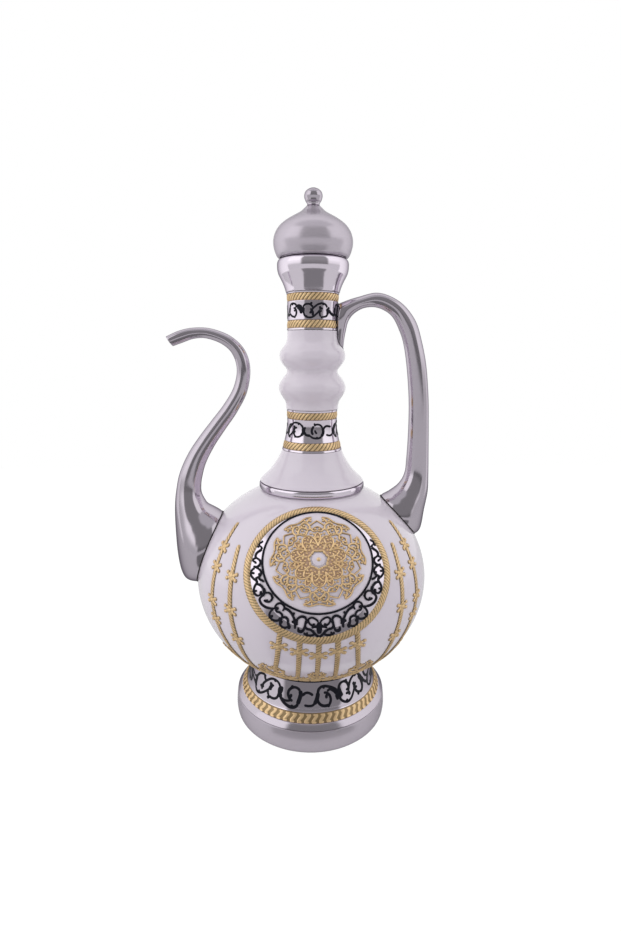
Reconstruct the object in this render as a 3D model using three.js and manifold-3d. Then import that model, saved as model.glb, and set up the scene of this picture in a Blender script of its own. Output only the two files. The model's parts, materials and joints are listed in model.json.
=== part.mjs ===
// An ibrik: a lidded ewer with an enamelled globe body, a stacked neck, a curved spout and a loop handle.
// Millimetres, +Z up. The origin is the centre of the foot's underside. The spout points along -X and
// the handle along +X. The front medallion faces -Y, and the back one faces +Y.
import * as THREE from "three";
import { mergeVertices } from "three/addons/utils/BufferGeometryUtils.js";
import Module from "manifold-3d";

const wasm = await Module();
wasm.setup();

// Clearances
const seatGap = 0.3; // between two pieces that bear on each other
const boreGap = 0.6; // round a tube or a bolt that passes through a hole
const cutReach = 4; // how far a cutting tool reaches past the wall that it goes through
const hollowGap = 0.7; // off the globe's hollow wall, whose facets stand in from the true curve

// Foot
const padRadius = 53;
const padThickness = 1.6;
const footPlateThickness = 1.9;
const footFlangeThickness = 2;
const footFlangeWidth = 10;
const footDishMargin = 12; // from the flange's inner edge to the plate's raised middle
const footRadius = 60.3;
const footWall = 2.4;
const footRingHeight = 22.5;
const footLedgeRadius = 56.6;
const keyBandFootRadius = 56;
const keyBandTopRadius = 52.6;
const keyBandHeight = 5.6;
const keyBandThickness = 1.2;
const waistRadius = 49.8;
const waistHeight = 41.7;
const flareWall = 2.2;
const footHeight = 55;
const globeSeatRadius = 50;
const footGasketMargin = 5; // inside the globe's seat
const footGasketWidth = 11;
const footGasketThickness = 1.5;
const footGasketOuter = globeSeatRadius - footGasketMargin;
const footGasketInner = footGasketOuter - footGasketWidth;

// Globe
const globeRadius = 88.2;
const globeRise = 76; // from the widest circle up to the crown
const globeDrop = 78.5; // from the widest circle down to the bottom
const globeWall = 3.5;

// Neck stack, from the globe up
const linerBore = 13.8;
const linerWall = 1.4;
const clampRingOuter = 30;
const clampRingThickness = 2.5;
const neckNutOuter = 21;
const neckNutHeight = 5;
const rimRadius = 39.5;
const rimInner = 30;
const rimHeight = 6;
const shoulderGasketThickness = 0.8;
const skirtFootRadius = 39;
const skirtTopRadius = 22.3;
const skirtHeight = 23.1;
const skirtWall = 3;
const lowerBandHeight = 30.5;
const lowerBandFootRadius = 22.1;
const lowerBandWaist = 18.5;
const bulbsHeight = 55.5;
const bulbRadius = 24.1;
const neckRadius = 18.7;
const lowerBulbHeight = 15.6; // above the foot of the white neck
const upperBulbHeight = 38.7;
const bulbHalfHeight = 11.2;
const upperBandHeight = 26;
const upperBandWaist = 18.5;
const bandTopRadius = 19.6;
const ropeWidth = 5.4;
const ropeProud = 0.2;
const ropeDepth = 0.8;
const ropeMargin = 2.2;
const ropeTopMargin = 0.6;
const collarHeight = 23.4;
const collarRadius = 25.3;
const collarFootRadius = 20;
const mouthBore = 19;
const mouthWellDepth = 16;

// Lid
const lidRadius = 27.6;
const lidRimRadius = 25.5;
const lidDomeHeight = 32.7;
const lidShoulderHeight = 9.6;
const lidShoulderLead = 3.4; // the dome is nearly at its full radius this far under its shoulder
const lidShoulderEase = 0.5;
const lidWall = 1.8;
const lidFlangeThickness = 1.5;
const lidPlugDepth = 12.5;
const lidPlugPlay = 0.7;
const lidPlugWall = 3;
const lidPlugFloor = 1.8;
const sealHeight = 3;
const sealGrooveDepth = 1.4;
const sealAboveFloor = 3;
const finialStudRadius = 2;
const finialCollarRadius = 4.5;
const finialBallRadius = 6.4;
const finialBallRise = 5.2; // half the flattened ball's height
const finialHeight = 12.8;
const finialNutHeight = 3;

// Threaded hardware
const footBoltRadius = 4;
const footBoltHeadRadius = 7.5;
const footBoltHeadHeight = 5.3;
const footHubRadius = 10;
const footWasherRadius = 10;
const footWasherThickness = 1.6;
const footNutHeight = 6.5;
const boltTail = 3;
const handleStudRadius = 3;
const handleStudGrip = 12;
const handleWasherRadius = 9;
const handleWasherThickness = 1.4;
const handleNutHeight = 5;
const saddlePinRadius = 2;
const saddlePinGrip = 8;
const hexCorner = 1.85; // a nut's corner radius over its thread radius

// Spout
const spoutWall = 1.4;
const rootFloor = 2;
const spoutHoleHeight = 12; // above the widest circle
const spigotRadius = 8.5;
const spigotWall = 1.5;
const spoutNutOuter = 13;
const spoutNutHeight = 4;
const sleeveLength = 6;
const sleeveWall = 1.1;
const spoutSplit = 6; // the station where the tube is brazed to its root
const baseGasketThickness = 0.7;
const baseSeat = 1.6; // the spout's and the handle's feet stand this far off the globe
const spoutGasketHeight = 23;
const spoutGasketWide = 24;
const spoutGasketTall = 26;
const handleGasketHeight = 46.5;
const handleGasketWide = 16;
const handleGasketTall = 17;
const neckCutGap = 0.35;

// Medallions: ovals seen along an axis that leans up out of the globe
const medallionDrop = 9.1; // the leaning axis starts this far under the globe's centre
const medallionLean = 27.9; // degrees above level
const medallionWide = 48.4; // half-width and half-height of the outer edge
const medallionTall = 44.6;
const ropeRingWidth = 4.7;
const plateThickness = 1;
const ropeRingHeight = 1.8;
const discWide = 35.8;
const discTall = 32.8;
const discRise = 6.9; // the disc's centre above the plate's centre
const discThickness = 1.6;
const rosetteRadius = 28.5;
const rosettePetals = 7;
const rosettePetalDepth = 3;
const rosetteThickness = 0.7;

// Gold reeds and the lace ring at the foot of the globe; angles are degrees from the front
const reedHalfWidth = 1.7;
const reedKnotHalfWidth = 4;
const reedKnotLength = 5;
const reedHeight = 1.6;
const laceTop = -50; // heights from the widest circle
const laceBottom = -56;
const laceHeight = 0.9;
const innerReed = { azimuth: 38, lean: 0.082, top: 41, knots: [23, 1, -21] };
const outerReed = { azimuth: 50.3, lean: 0.065, top: 52, knots: [37, 24.5, 2, -11.5] };
const reedLeanFrom = -40;
const reedRowStep = 9;
const reedEndMargin = 2;
const shortReeds = [-17.4, -8.4, 0, 8.4, 17.4];
const shortReedKnotDrop = 8;
const palmettes = [-21, 0, 21];
const palmetteHalfWidth = 5;
const palmetteHeight = 8;

// Outlines of the spout and the handle, as pairs of edge points in the XZ plane with a half-depth along Y.
// Each row is [x, z, x, z, half-depth]: the edge on the spout tip's side, then the edge on the other side.
// Spout: x outward from the globe's widest circle, z up from it.
const spoutStations = [
  [-5, -6, -24, 44, 24],
  [7, -4, -18.6, 49.5, 26],
  [12.3, 3, -13.8, 52.8, 24],
  [15, 18, -9, 55.6, 20],
  [16, 38, -7, 58.4, 15.5],
  [15.9, 54, -4.5, 64.2, 12],
  [14.4, 67, -4.3, 70, 9.6],
  [11.2, 80.5, -5.4, 77, 8.4],
  [4.2, 95.2, -8.7, 88, 7.3],
  [-4.4, 107.8, -15.6, 101, 6.6],
  [-13.8, 119.8, -24, 113.4, 6],
  [-23, 131.5, -32.6, 125.7, 5.6],
  [-30.4, 144, -40.2, 140.4, 5.2],
  [-33.1, 157, -42.9, 157, 4.9],
  [-30, 168, -39.3, 170.6, 4.7],
  [-22.6, 174.9, -29.4, 180.4, 4.35],
  [-11.7, 178.7, -15.2, 185.7, 3.95],
  [-2.7, 178.3, -2.3, 186.1, 3.9],
  [5.1, 175.6, 7.9, 183.8, 4.1],
  [11.8, 173.2, 16.4, 180, 4.15],
];
// Handle: [x, z] of the edge that faces the finger gap, then of the outer edge.
// Saddle: x from the neck's axis, z from the upper band's foot.
const saddleStations = [
  [15, -14, 15, 22, 12],
  [24.6, -12.6, 20.5, 21.6, 12.5],
  [25.1, -3.3, 23.5, 22.7, 11.3],
  [26.8, 6.2, 27.5, 24.1, 9.4],
  [31.2, 11.9, 32.5, 25.7, 7.6],
  [37.7, 15.7, 38.5, 27, 6.3],
  [44.5, 17.1, 45.5, 27.3, 5.5],
];
// Arch and grip: x outward from the globe's widest circle, z from the upper band's foot.
const gripStations = [
  [-36.7, 15.3, -31.7, 24.8, 5.5],
  [-30.2, 10.7, -21.4, 18.3, 5.9],
  [-25.2, 2.2, -13, 7.7, 6.5],
  [-21.2, -8.3, -8.2, -5.3, 6.8],
  [-18, -25.3, -3.7, -23.8, 7.1],
  [-15.5, -48.3, -0.8, -47.5, 7.3],
];
// Lower grip and root: x outward from the globe's widest circle, z up from it.
const rootStations = [
  [-14.8, 114, 0.5, 114.4, 7.6],
  [-15.2, 92, 1.5, 92, 8.1],
  [-16.3, 78.5, 2.1, 77, 9],
  [-20.7, 70, 2.1, 64.5, 11.5],
  [-27.7, 64.2, -0.2, 51, 15.3],
  [-33.4, 60.9, -3.2, 34.5, 18.5],
  [-39, 54, -11, 29, 18],
];

// Facets
const globeFacets = 32;
const neckFacets = 24;
const smallFacets = 12;
const globeRows = 8; // rows of facets from the widest circle to the crown or to the bottom
const toolFacets = 48; // the globe as a cutting tool is finer
const toolRows = 12;
const tubeSides = 12;
const stepsPerStation = 2;
const ovalFacets = 28;

// Materials
function material(color, metalness, roughness) {
  return new THREE.MeshStandardMaterial({ color, metalness, roughness });
}
const chrome = material(0xb9b5bb, 1, 0.12);
const satin = material(0xa9a5ab, 1, 0.32);
const enamel = material(0xdad2dc, 0, 0.18);
const gold = material(0xc9a46a, 1, 0.35);
const steel = material(0x8d8f93, 1, 0.4);
const rubber = material(0x3a2e2c, 0, 0.8);
const silicone = material(0xd8d4cf, 0, 0.6);
const felt = material(0x3b3f46, 0, 0.95);

// Geometry helpers
const model = new THREE.Group();
const up = new THREE.Vector3(0, 0, 1);
const radians = THREE.MathUtils.degToRad;
const onAxis = (height) => new THREE.Vector3(0, 0, height);

// Turns the faces round if they point inwards.
function facingOut(geometry) {
  const p = geometry.getAttribute("position");
  const index = geometry.index.array;
  const [a, b, c] = [new THREE.Vector3(), new THREE.Vector3(), new THREE.Vector3()];
  let volume = 0;
  for (let i = 0; i < index.length; i += 3) {
    a.fromBufferAttribute(p, index[i]);
    b.fromBufferAttribute(p, index[i + 1]);
    c.fromBufferAttribute(p, index[i + 2]);
    volume += a.dot(b.cross(c));
  }
  if (volume < 0) geometry.setIndex([...index].reverse());
  return geometry;
}

function meshed(points, faces) {
  const geometry = new THREE.BufferGeometry().setFromPoints(points);
  return facingOut(geometry.setIndex(faces.flat()));
}

// A solid of revolution about Z from [radius, height] pairs; an outline that leaves the axis closes itself.
function lathe(outline, facets) {
  const points = outline.map(([r, z]) => new THREE.Vector2(r, z));
  if (points[0].x > 0) points.push(points[0].clone());
  const geometry = new THREE.LatheGeometry(points, facets).rotateX(Math.PI / 2);
  geometry.deleteAttribute("normal");
  geometry.deleteAttribute("uv");
  return facingOut(mergeVertices(geometry, 1e-4));
}

function ring(inner, outer, bottom, top, facets) {
  return lathe([[inner, bottom], [outer, bottom], [outer, top], [inner, top]], facets);
}

// A round bar between two points.
function rod(radius, from, to, facets = smallFacets) {
  const along = to.clone().sub(from);
  const bar = new THREE.CylinderGeometry(radius, radius, along.length(), facets);
  const upright = new THREE.Vector3(0, 1, 0);
  bar.applyQuaternion(new THREE.Quaternion().setFromUnitVectors(upright, along.normalize()));
  const middle = from.clone().add(to).multiplyScalar(0.5);
  return bar.translate(middle.x, middle.y, middle.z);
}

// A closed skin over rings of points, with a fan at each end.
function loft(rings) {
  const sides = rings[0].length;
  const points = rings.flat();
  const faces = [];
  for (let row = 0; row < rings.length - 1; row++) {
    for (let side = 0; side < sides; side++) {
      const [a, b] = [row * sides + side, row * sides + ((side + 1) % sides)];
      faces.push([a, b, b + sides], [a, b + sides, a + sides]);
    }
  }
  for (const [ends, turned] of [[0, false], [(rings.length - 1) * sides, true]]) {
    const centre = new THREE.Vector3();
    for (let side = 0; side < sides; side++) centre.add(points[ends + side]);
    points.push(centre.divideScalar(sides));
    for (let side = 0; side < sides; side++) {
      const [a, b] = [ends + side, ends + ((side + 1) % sides)];
      faces.push(turned ? [a, b, points.length - 1] : [b, a, points.length - 1]);
    }
  }
  return meshed(points, faces);
}

// A sheet between two closed outlines in a chart's (u, v), from one lift to another off the chart's surface.
// With a single point as its inner outline it is a whole plate.
function sheet(chart, outer, inner, rows, lower, upper) {
  const count = outer.length;
  const whole = inner.length === 1;
  const points = [];
  for (const lift of [lower, upper]) {
    for (let row = 0; row <= rows; row++) {
      for (let k = 0; k < (whole && row === 0 ? 1 : count); k++) {
        const from = inner[whole ? 0 : k];
        const share = row / rows;
        const u = from[0] + (outer[k][0] - from[0]) * share;
        const v = from[1] + (outer[k][1] - from[1]) * share;
        points.push(chart(u, v, lift));
      }
    }
  }
  const layer = points.length / 2;
  // A whole plate's first row is its single middle point.
  const at = (row, k) => {
    if (!whole) return row * count + (k % count);
    return row === 0 ? 0 : 1 + (row - 1) * count + (k % count);
  };
  const faces = [];
  for (let k = 0; k < count; k++) {
    for (let row = 0; row < rows; row++) {
      const [a, b, c, d] = [at(row, k), at(row + 1, k), at(row + 1, k + 1), at(row, k + 1)];
      faces.push([layer + a, layer + b, layer + c], [a, c, b]);
      if (a !== d) faces.push([layer + a, layer + c, layer + d], [a, d, c]);
    }
    const [a, b] = [at(rows, k), at(rows, k + 1)];
    faces.push([a, b, layer + b], [a, layer + b, layer + a]);
    if (!whole) {
      const [c, d] = [at(0, k), at(0, k + 1)];
      faces.push([d, c, layer + c], [d, layer + c, layer + d]);
    }
  }
  return meshed(points, faces);
}

function solid(geometry) {
  const bare = geometry.clone();
  bare.deleteAttribute("normal");
  bare.deleteAttribute("uv");
  const merged = mergeVertices(bare, 1e-4);
  const vertProperties = merged.getAttribute("position").array;
  const triVerts = new Uint32Array(merged.index.array);
  return new wasm.Manifold(new wasm.Mesh({ numProp: 3, vertProperties, triVerts }));
}

function geometryOf(cut) {
  const { vertProperties, triVerts } = cut.getMesh();
  const geometry = new THREE.BufferGeometry();
  geometry.setAttribute("position", new THREE.BufferAttribute(vertProperties, 3));
  return geometry.setIndex(new THREE.BufferAttribute(triVerts, 1));
}

function less(geometry, ...tools) {
  return geometryOf(tools.reduce((body, tool) => body.subtract(solid(tool)), solid(geometry)));
}

function joined(geometry, ...others) {
  return geometryOf(others.reduce((body, other) => body.add(solid(other)), solid(geometry)));
}

function piece(name, geometry, finish, parent = model) {
  const mesh = new THREE.Mesh(geometry, finish);
  mesh.name = name;
  parent.add(mesh);
  return mesh;
}

// A hexagonal nut or bolt head about Z.
function hexagon(corner, bottom, top) {
  const prism = new THREE.CylinderGeometry(corner, corner, top - bottom, 6).rotateX(Math.PI / 2);
  return prism.translate(0, 0, (bottom + top) / 2);
}

function hexNut(threadRadius, bottom, top) {
  const hole = rod(threadRadius + seatGap, onAxis(bottom - 1), onAxis(top + 1));
  return less(hexagon(threadRadius * hexCorner, bottom, top), hole);
}

// Globe: two half-ellipses that share their widest circle
const globeCentre = footHeight + seatGap + globeDrop * Math.sqrt(1 - (globeSeatRadius / globeRadius) ** 2);
const globeSpan = (height) => (height < 0 ? globeDrop : globeRise);
const globeTop = (radius) => globeCentre + globeRise * Math.sqrt(1 - (radius / globeRadius) ** 2);
const globeBottom = (radius) => globeCentre - globeDrop * Math.sqrt(1 - (radius / globeRadius) ** 2);

// The outward direction at a point that lies `height` above the widest circle, `radius` from the axis.
function globeNormal(radius, height) {
  return new THREE.Vector2(radius / globeRadius ** 2, height / globeSpan(height) ** 2).normalize();
}

// A point on the globe by its angle from the front and its height above the widest circle.
function onGlobe(azimuth, height, lift = 0) {
  const radius = globeRadius * Math.sqrt(1 - (height / globeSpan(height)) ** 2);
  const normal = globeNormal(radius, height);
  const reach = radius + normal.x * lift;
  const angle = radians(azimuth);
  return new THREE.Vector3(
    reach * Math.sin(angle),
    -reach * Math.cos(angle),
    globeCentre + height + normal.y * lift,
  );
}

// The globe's outline from the bottom to the crown, moved out by a lift, as [radius, height] pairs.
function globeOutline(lift, lowRadius, highRadius, rows = globeRows) {
  const outline = [];
  const first = -Math.acos(lowRadius / globeRadius);
  const last = Math.acos(highRadius / globeRadius);
  for (let row = 0; row <= 2 * rows; row++) {
    const angle = row <= rows ? first * (1 - row / rows) : last * (row / rows - 1);
    const height = globeSpan(angle) * Math.sin(angle);
    const radius = globeRadius * Math.cos(angle);
    const normal = globeNormal(radius, height);
    outline.push([radius + normal.x * lift, globeCentre + height + normal.y * lift]);
  }
  return outline;
}

// A whole globe that stands off the real one by a lift, for cutting what seats on it.
function globeTool(lift) {
  const outline = globeOutline(lift, 1, 1, toolRows);
  return lathe([[0, outline[0][1]], ...outline, [0, outline[outline.length - 1][1]]], toolFacets);
}

// A point on the globe's +X or -X meridian with its outward direction.
function meridian(sign, height) {
  const radius = globeRadius * Math.sqrt(1 - (height / globeSpan(height)) ** 2);
  const normal = globeNormal(radius, height);
  return {
    point: new THREE.Vector3(sign * radius, 0, globeCentre + height),
    out: new THREE.Vector3(sign * normal.x, 0, normal.y),
  };
}

function along(frame, distance) {
  return frame.point.clone().addScaledVector(frame.out, distance);
}

// Turns a piece made about Z so that its +Z runs along the frame's outward direction.
function placed(geometry, frame) {
  geometry.applyQuaternion(new THREE.Quaternion().setFromUnitVectors(up, frame.out));
  return geometry.translate(frame.point.x, frame.point.y, frame.point.z);
}

// How far a flat disc of this radius stands off the hollow wall that its edge touches.
const wallSag = (radius) => radius ** 2 / (2 * (globeRise ** 2 / globeRadius - globeWall));

// Foot: a felt pad, a dished plate, a ring, and a flare whose saucer carries the globe
const plateBottom = padThickness + seatGap;
const plateTop = plateBottom + footPlateThickness;
const flangeBottom = plateTop + seatGap;
const flangeTop = flangeBottom + footFlangeThickness;
const boltHeadTop = padThickness + 2 * seatGap + footBoltHeadHeight;
const hubBottom = boltHeadTop + seatGap;
const hubTop = hubBottom + footPlateThickness + footWall / 4;
const plateRadius = padRadius;
const flangeInner = plateRadius - footFlangeWidth;
const dishRadius = flangeInner - footDishMargin;
const flareBottom = footRingHeight + seatGap;
const keyBandBottom = flareBottom + 1;
const keyBandTop = keyBandBottom + keyBandHeight;
const bandSlope = keyBandThickness + seatGap;
const flareFootInner = keyBandFootRadius - bandSlope - flareWall;
const gasketRadii = [footGasketInner, (footGasketInner + footGasketOuter) / 2, footGasketOuter];

function footPad() {
  return lathe([[0, 0], [padRadius, 0], [padRadius, padThickness], [0, padThickness]], neckFacets);
}

function footPlate() {
  const hole = footBoltRadius + boreGap;
  return lathe(
    [
      [hole, hubBottom],
      [footHubRadius + 1, hubBottom],
      [dishRadius, plateBottom],
      [plateRadius, plateBottom],
      [plateRadius, plateTop],
      [dishRadius + 1, plateTop],
      [footHubRadius + 2, hubTop],
      [hole, hubTop],
    ],
    neckFacets,
  );
}

function footRing() {
  const lip = padRadius + boreGap;
  const inner = footRadius - footWall;
  return lathe(
    [
      [lip, 0.5],
      [lip + 2, 0.5],
      [footRadius - 0.9, padThickness + footFlangeThickness],
      [footRadius, footRingHeight * 0.37],
      [footRadius - 0.1, footRingHeight * 0.58],
      [footRadius - 0.6, footRingHeight * 0.8],
      [footRadius - 1.6, footRingHeight * 0.93],
      [footLedgeRadius, footRingHeight],
      [flareFootInner, footRingHeight],
      [flareFootInner, footRingHeight - footWall],
      [inner - 1.4, footRingHeight - footWall],
      [inner, footRingHeight * 0.7],
      [inner, flangeTop + 1],
      [inner - 1, flangeTop],
      [flangeInner, flangeTop],
      [flangeInner, flangeBottom],
      [lip, flangeBottom],
    ],
    globeFacets,
  );
}

function keyBand() {
  return lathe(
    [
      [keyBandFootRadius - keyBandThickness, keyBandBottom],
      [keyBandFootRadius, keyBandBottom],
      [keyBandTopRadius, keyBandTop],
      [keyBandTopRadius - keyBandThickness, keyBandTop],
    ],
    globeFacets,
  );
}

function footFlare() {
  const saucer = (radius, drop) => [radius, globeBottom(radius) - drop];
  const saucerTop = footGasketThickness + 2 * seatGap;
  const saucerUnder = saucerTop + flareWall;
  const hole = footBoltRadius + boreGap;
  const lipInner = globeSeatRadius - flareWall;
  return lathe(
    [
      [flareFootInner, flareBottom],
      [keyBandFootRadius - 0.2, flareBottom],
      [keyBandFootRadius - bandSlope, keyBandBottom - seatGap],
      [keyBandTopRadius - bandSlope, keyBandTop + seatGap],
      [keyBandTopRadius - 0.2, keyBandTop + seatGap],
      [waistRadius + 1.4, keyBandTop + 0.25 * (waistHeight - keyBandTop)],
      [waistRadius + 0.4, keyBandTop + 0.6 * (waistHeight - keyBandTop)],
      [waistRadius, waistHeight],
      [waistRadius + 0.1, (waistHeight + footHeight) / 2],
      [globeSeatRadius, footHeight - 0.6],
      [globeSeatRadius - 0.4, footHeight - 0.5],
      saucer(lipInner, saucerTop),
      ...gasketRadii.map((radius) => saucer(radius, saucerTop)).reverse(),
      saucer(footHubRadius * 2, saucerTop),
      saucer(hole, saucerTop),
      saucer(hole, saucerUnder),
      saucer(footHubRadius * 2, saucerUnder),
      saucer(footGasketInner, saucerUnder),
      saucer(lipInner - flareWall, saucerUnder),
      [waistRadius - flareWall, waistHeight],
      [waistRadius + 0.4 - flareWall, keyBandTop + 0.6 * (waistHeight - keyBandTop)],
      [keyBandTopRadius - bandSlope - flareWall, keyBandTop + seatGap],
    ],
    globeFacets,
  );
}

function footGasket() {
  const top = gasketRadii.map((radius) => [radius, globeBottom(radius) - seatGap]);
  const under = gasketRadii.map((radius) => [radius, globeBottom(radius) - seatGap - footGasketThickness]);
  return lathe([...under, ...top.reverse()], globeFacets);
}

// The washer lies flat on the globe's hollow floor.
const washerBottom = globeBottom(0) + globeWall + wallSag(footWasherRadius) + hollowGap;
const footNutBottom = washerBottom + footWasherThickness + seatGap;
const footBoltTop = footNutBottom + footNutHeight + boltTail;

function footBolt() {
  const head = hexagon(footBoltHeadRadius, boltHeadTop - footBoltHeadHeight, boltHeadTop);
  const shank = rod(footBoltRadius, onAxis(boltHeadTop - 1), onAxis(footBoltTop));
  return joined(head, shank);
}

function addFoot() {
  piece("foot_felt_pad", footPad(), felt);
  piece("foot_plate", footPlate(), steel);
  piece("foot_ring", footRing(), satin);
  piece("foot_key_band", keyBand(), gold);
  piece("foot_flare", footFlare(), chrome);
  piece("foot_gasket", footGasket(), rubber);
  piece("foot_bolt", footBolt(), steel);
  const washerTop = washerBottom + footWasherThickness;
  const hole = footBoltRadius + seatGap;
  piece("foot_washer", ring(hole, footWasherRadius, washerBottom, washerTop, smallFacets), steel);
  piece("foot_nut", hexNut(footBoltRadius, footNutBottom, footNutBottom + footNutHeight), steel);
}

// Globe shell with its four holes: neck, foot bolt, spout and handle stud
const linerRadius = linerBore + linerWall;
const neckBore = linerRadius + boreGap;
const spoutFrame = meridian(-1, spoutHoleHeight);
const handleFrame = meridian(1, handleGasketHeight);

function globeShell() {
  const neckHole = linerRadius + 1.8;
  const boltHole = footBoltRadius + boreGap;
  const outside = globeOutline(0, boltHole, neckHole);
  const inside = globeOutline(-globeWall, boltHole + 0.3, neckHole + 0.3).reverse();
  inside[0][0] = neckHole;
  inside[inside.length - 1][0] = boltHole;
  const reach = globeWall + cutReach;
  const spoutHole = rod(spigotRadius + boreGap, along(spoutFrame, -reach), along(spoutFrame, cutReach));
  const studHole = rod(handleStudRadius + boreGap, along(handleFrame, -reach), along(handleFrame, cutReach));
  return less(lathe([...outside, ...inside], globeFacets), spoutHole, studHole);
}

// Neck: rim, skirt, lower band, white bulbs, upper band and collar, drawn together by the liner tube
const rimTop = globeTop(rimRadius) + rimHeight;
const skirtBottom = rimTop + seatGap;
const skirtTop = skirtBottom + skirtHeight;
const lowerBandBottom = skirtTop + seatGap;
const lowerBandTop = lowerBandBottom + lowerBandHeight;
const bulbsBottom = lowerBandTop + seatGap;
const bulbsTop = bulbsBottom + bulbsHeight;
const upperBandBottom = bulbsTop + seatGap;
const upperBandTop = upperBandBottom + upperBandHeight;
const collarBottom = upperBandTop + seatGap;
const collarTop = collarBottom + collarHeight;
const mouthFloor = collarTop - mouthWellDepth;

function shoulderGasket() {
  const lift = seatGap;
  const radii = [rimInner + 1, rimRadius - 1.5];
  const top = radii.map((radius) => [radius, globeTop(radius) + lift + shoulderGasketThickness]);
  const under = radii.map((radius) => [radius, globeTop(radius) + lift]);
  return lathe([...under, ...top.reverse()], neckFacets);
}

function shoulderRim() {
  const lift = shoulderGasketThickness + 2 * seatGap;
  return lathe(
    [
      [rimInner, globeTop(rimInner) + lift],
      [rimRadius - 1.2, globeTop(rimRadius - 1.2) + lift],
      [rimRadius - 0.3, globeTop(rimRadius) + lift],
      [rimRadius, globeTop(rimRadius) + lift + 1.2],
      [rimRadius, rimTop - 1.5],
      [rimRadius - 0.5, rimTop],
      [rimInner, rimTop],
    ],
    neckFacets,
  );
}

// The skirt's outside is a trumpet curve from its foot to its top.
function skirtRadiusAt(share) {
  const fall = skirtFootRadius - skirtTopRadius;
  return skirtTopRadius + fall * (1 - share) ** 1.85;
}

function shoulderSkirt() {
  const rows = 6;
  const outside = [];
  const inside = [];
  for (let row = 0; row <= rows; row++) {
    const share = row / rows;
    const height = skirtBottom + share * skirtHeight;
    outside.push([skirtRadiusAt(share), height]);
    inside.push([Math.max(skirtRadiusAt(share) - skirtWall, neckBore), height]);
  }
  return lathe([...outside, ...inside.reverse()], neckFacets);
}

// A band's outside: a hollow curve with its waist at a share of its height.
function bandRadius(band, height) {
  const share = (height - band.bottom) / (band.top - band.bottom);
  const below = share < band.waistShare;
  const reach = below ? 1 - share / band.waistShare : (share - band.waistShare) / (1 - band.waistShare);
  return band.waist + (below ? band.footRadius - band.waist : band.topRadius - band.waist) * reach ** 2;
}
const lowerBand = {
  bottom: lowerBandBottom,
  top: lowerBandTop,
  footRadius: lowerBandFootRadius,
  waist: lowerBandWaist,
  topRadius: neckRadius + 0.1,
  waistShare: 0.68,
};
const upperBand = {
  bottom: upperBandBottom,
  top: upperBandTop,
  footRadius: neckRadius + 0.2,
  waist: upperBandWaist,
  topRadius: bandTopRadius,
  waistShare: 0.4,
};

// The two rope rings of a band, as [bottom, top] heights.
function ropeSpans(band) {
  const low = band.bottom + ropeMargin;
  const high = band.top - ropeTopMargin - ropeWidth;
  return [[low, low + ropeWidth], [high, high + ropeWidth]];
}

// A band is a sleeve with a groove for each rope ring.
function bandSleeve(band) {
  const outline = [[bandRadius(band, band.bottom), band.bottom]];
  const grooved = (height) => bandRadius(band, height) - ropeDepth - seatGap;
  const spans = ropeSpans(band);
  for (const [bottom, top] of spans) {
    const [low, high] = [bottom - seatGap, top + seatGap];
    outline.push([bandRadius(band, low), low], [grooved(low), low]);
    outline.push([grooved(high), high], [bandRadius(band, high), high]);
    if (bottom === spans[0][0]) {
      const middle = (band.bottom + band.top) / 2;
      outline.push([bandRadius(band, middle), middle]);
    }
  }
  outline.push([bandRadius(band, band.top), band.top], [neckBore, band.top], [neckBore, band.bottom]);
  return lathe(outline, neckFacets);
}

function ropeRing(band, [bottom, top]) {
  const middle = (bottom + top) / 2;
  return lathe(
    [
      [bandRadius(band, bottom) - ropeDepth, bottom],
      [bandRadius(band, bottom), bottom],
      [bandRadius(band, middle) + ropeProud, middle],
      [bandRadius(band, top), top],
      [bandRadius(band, top) - ropeDepth, top],
    ],
    neckFacets,
  );
}

// The white neck: a straight tube with two round bulbs.
function neckOutline() {
  const outline = [[neckRadius + 0.3, bulbsBottom]];
  const rows = 6;
  for (const bulb of [lowerBulbHeight, upperBulbHeight]) {
    for (let row = bulb === lowerBulbHeight ? 0 : 1; row <= rows; row++) {
      const reach = (2 * row) / rows - 1;
      const swell = (1 + Math.cos(Math.PI * reach)) / 2;
      const height = bulbsBottom + bulb + reach * bulbHalfHeight;
      outline.push([neckRadius + (bulbRadius - neckRadius) * swell, height]);
    }
  }
  outline.push([neckRadius + 0.2, bulbsTop]);
  return outline;
}

function neckBulbs() {
  return lathe([...neckOutline(), [neckBore, bulbsTop], [neckBore, bulbsBottom]], neckFacets);
}

const linerTop = mouthFloor - seatGap;
const clampTop = globeTop(clampRingOuter) - globeWall - seatGap;
const clampBottom = clampTop - clampRingThickness;
const neckNutTop = clampBottom - seatGap;
const linerBottom = neckNutTop - neckNutHeight - boltTail;

// The collar's swell, as shares of its growth in radius and of its height.
const collarShape = [[0, 0], [0.27, 0.29], [0.74, 0.48], [1, 0.66], [1, 0.87]];

function mouthCollar() {
  const swell = collarRadius - collarFootRadius;
  return lathe(
    [
      ...collarShape.map(([out, up]) => [collarFootRadius + out * swell, collarBottom + up * collarHeight]),
      [collarRadius - 1, collarTop],
      [mouthBore, collarTop],
      [mouthBore, mouthFloor],
      [linerRadius + seatGap, mouthFloor],
      [linerRadius + seatGap, collarBottom],
    ],
    neckFacets,
  );
}

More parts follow.
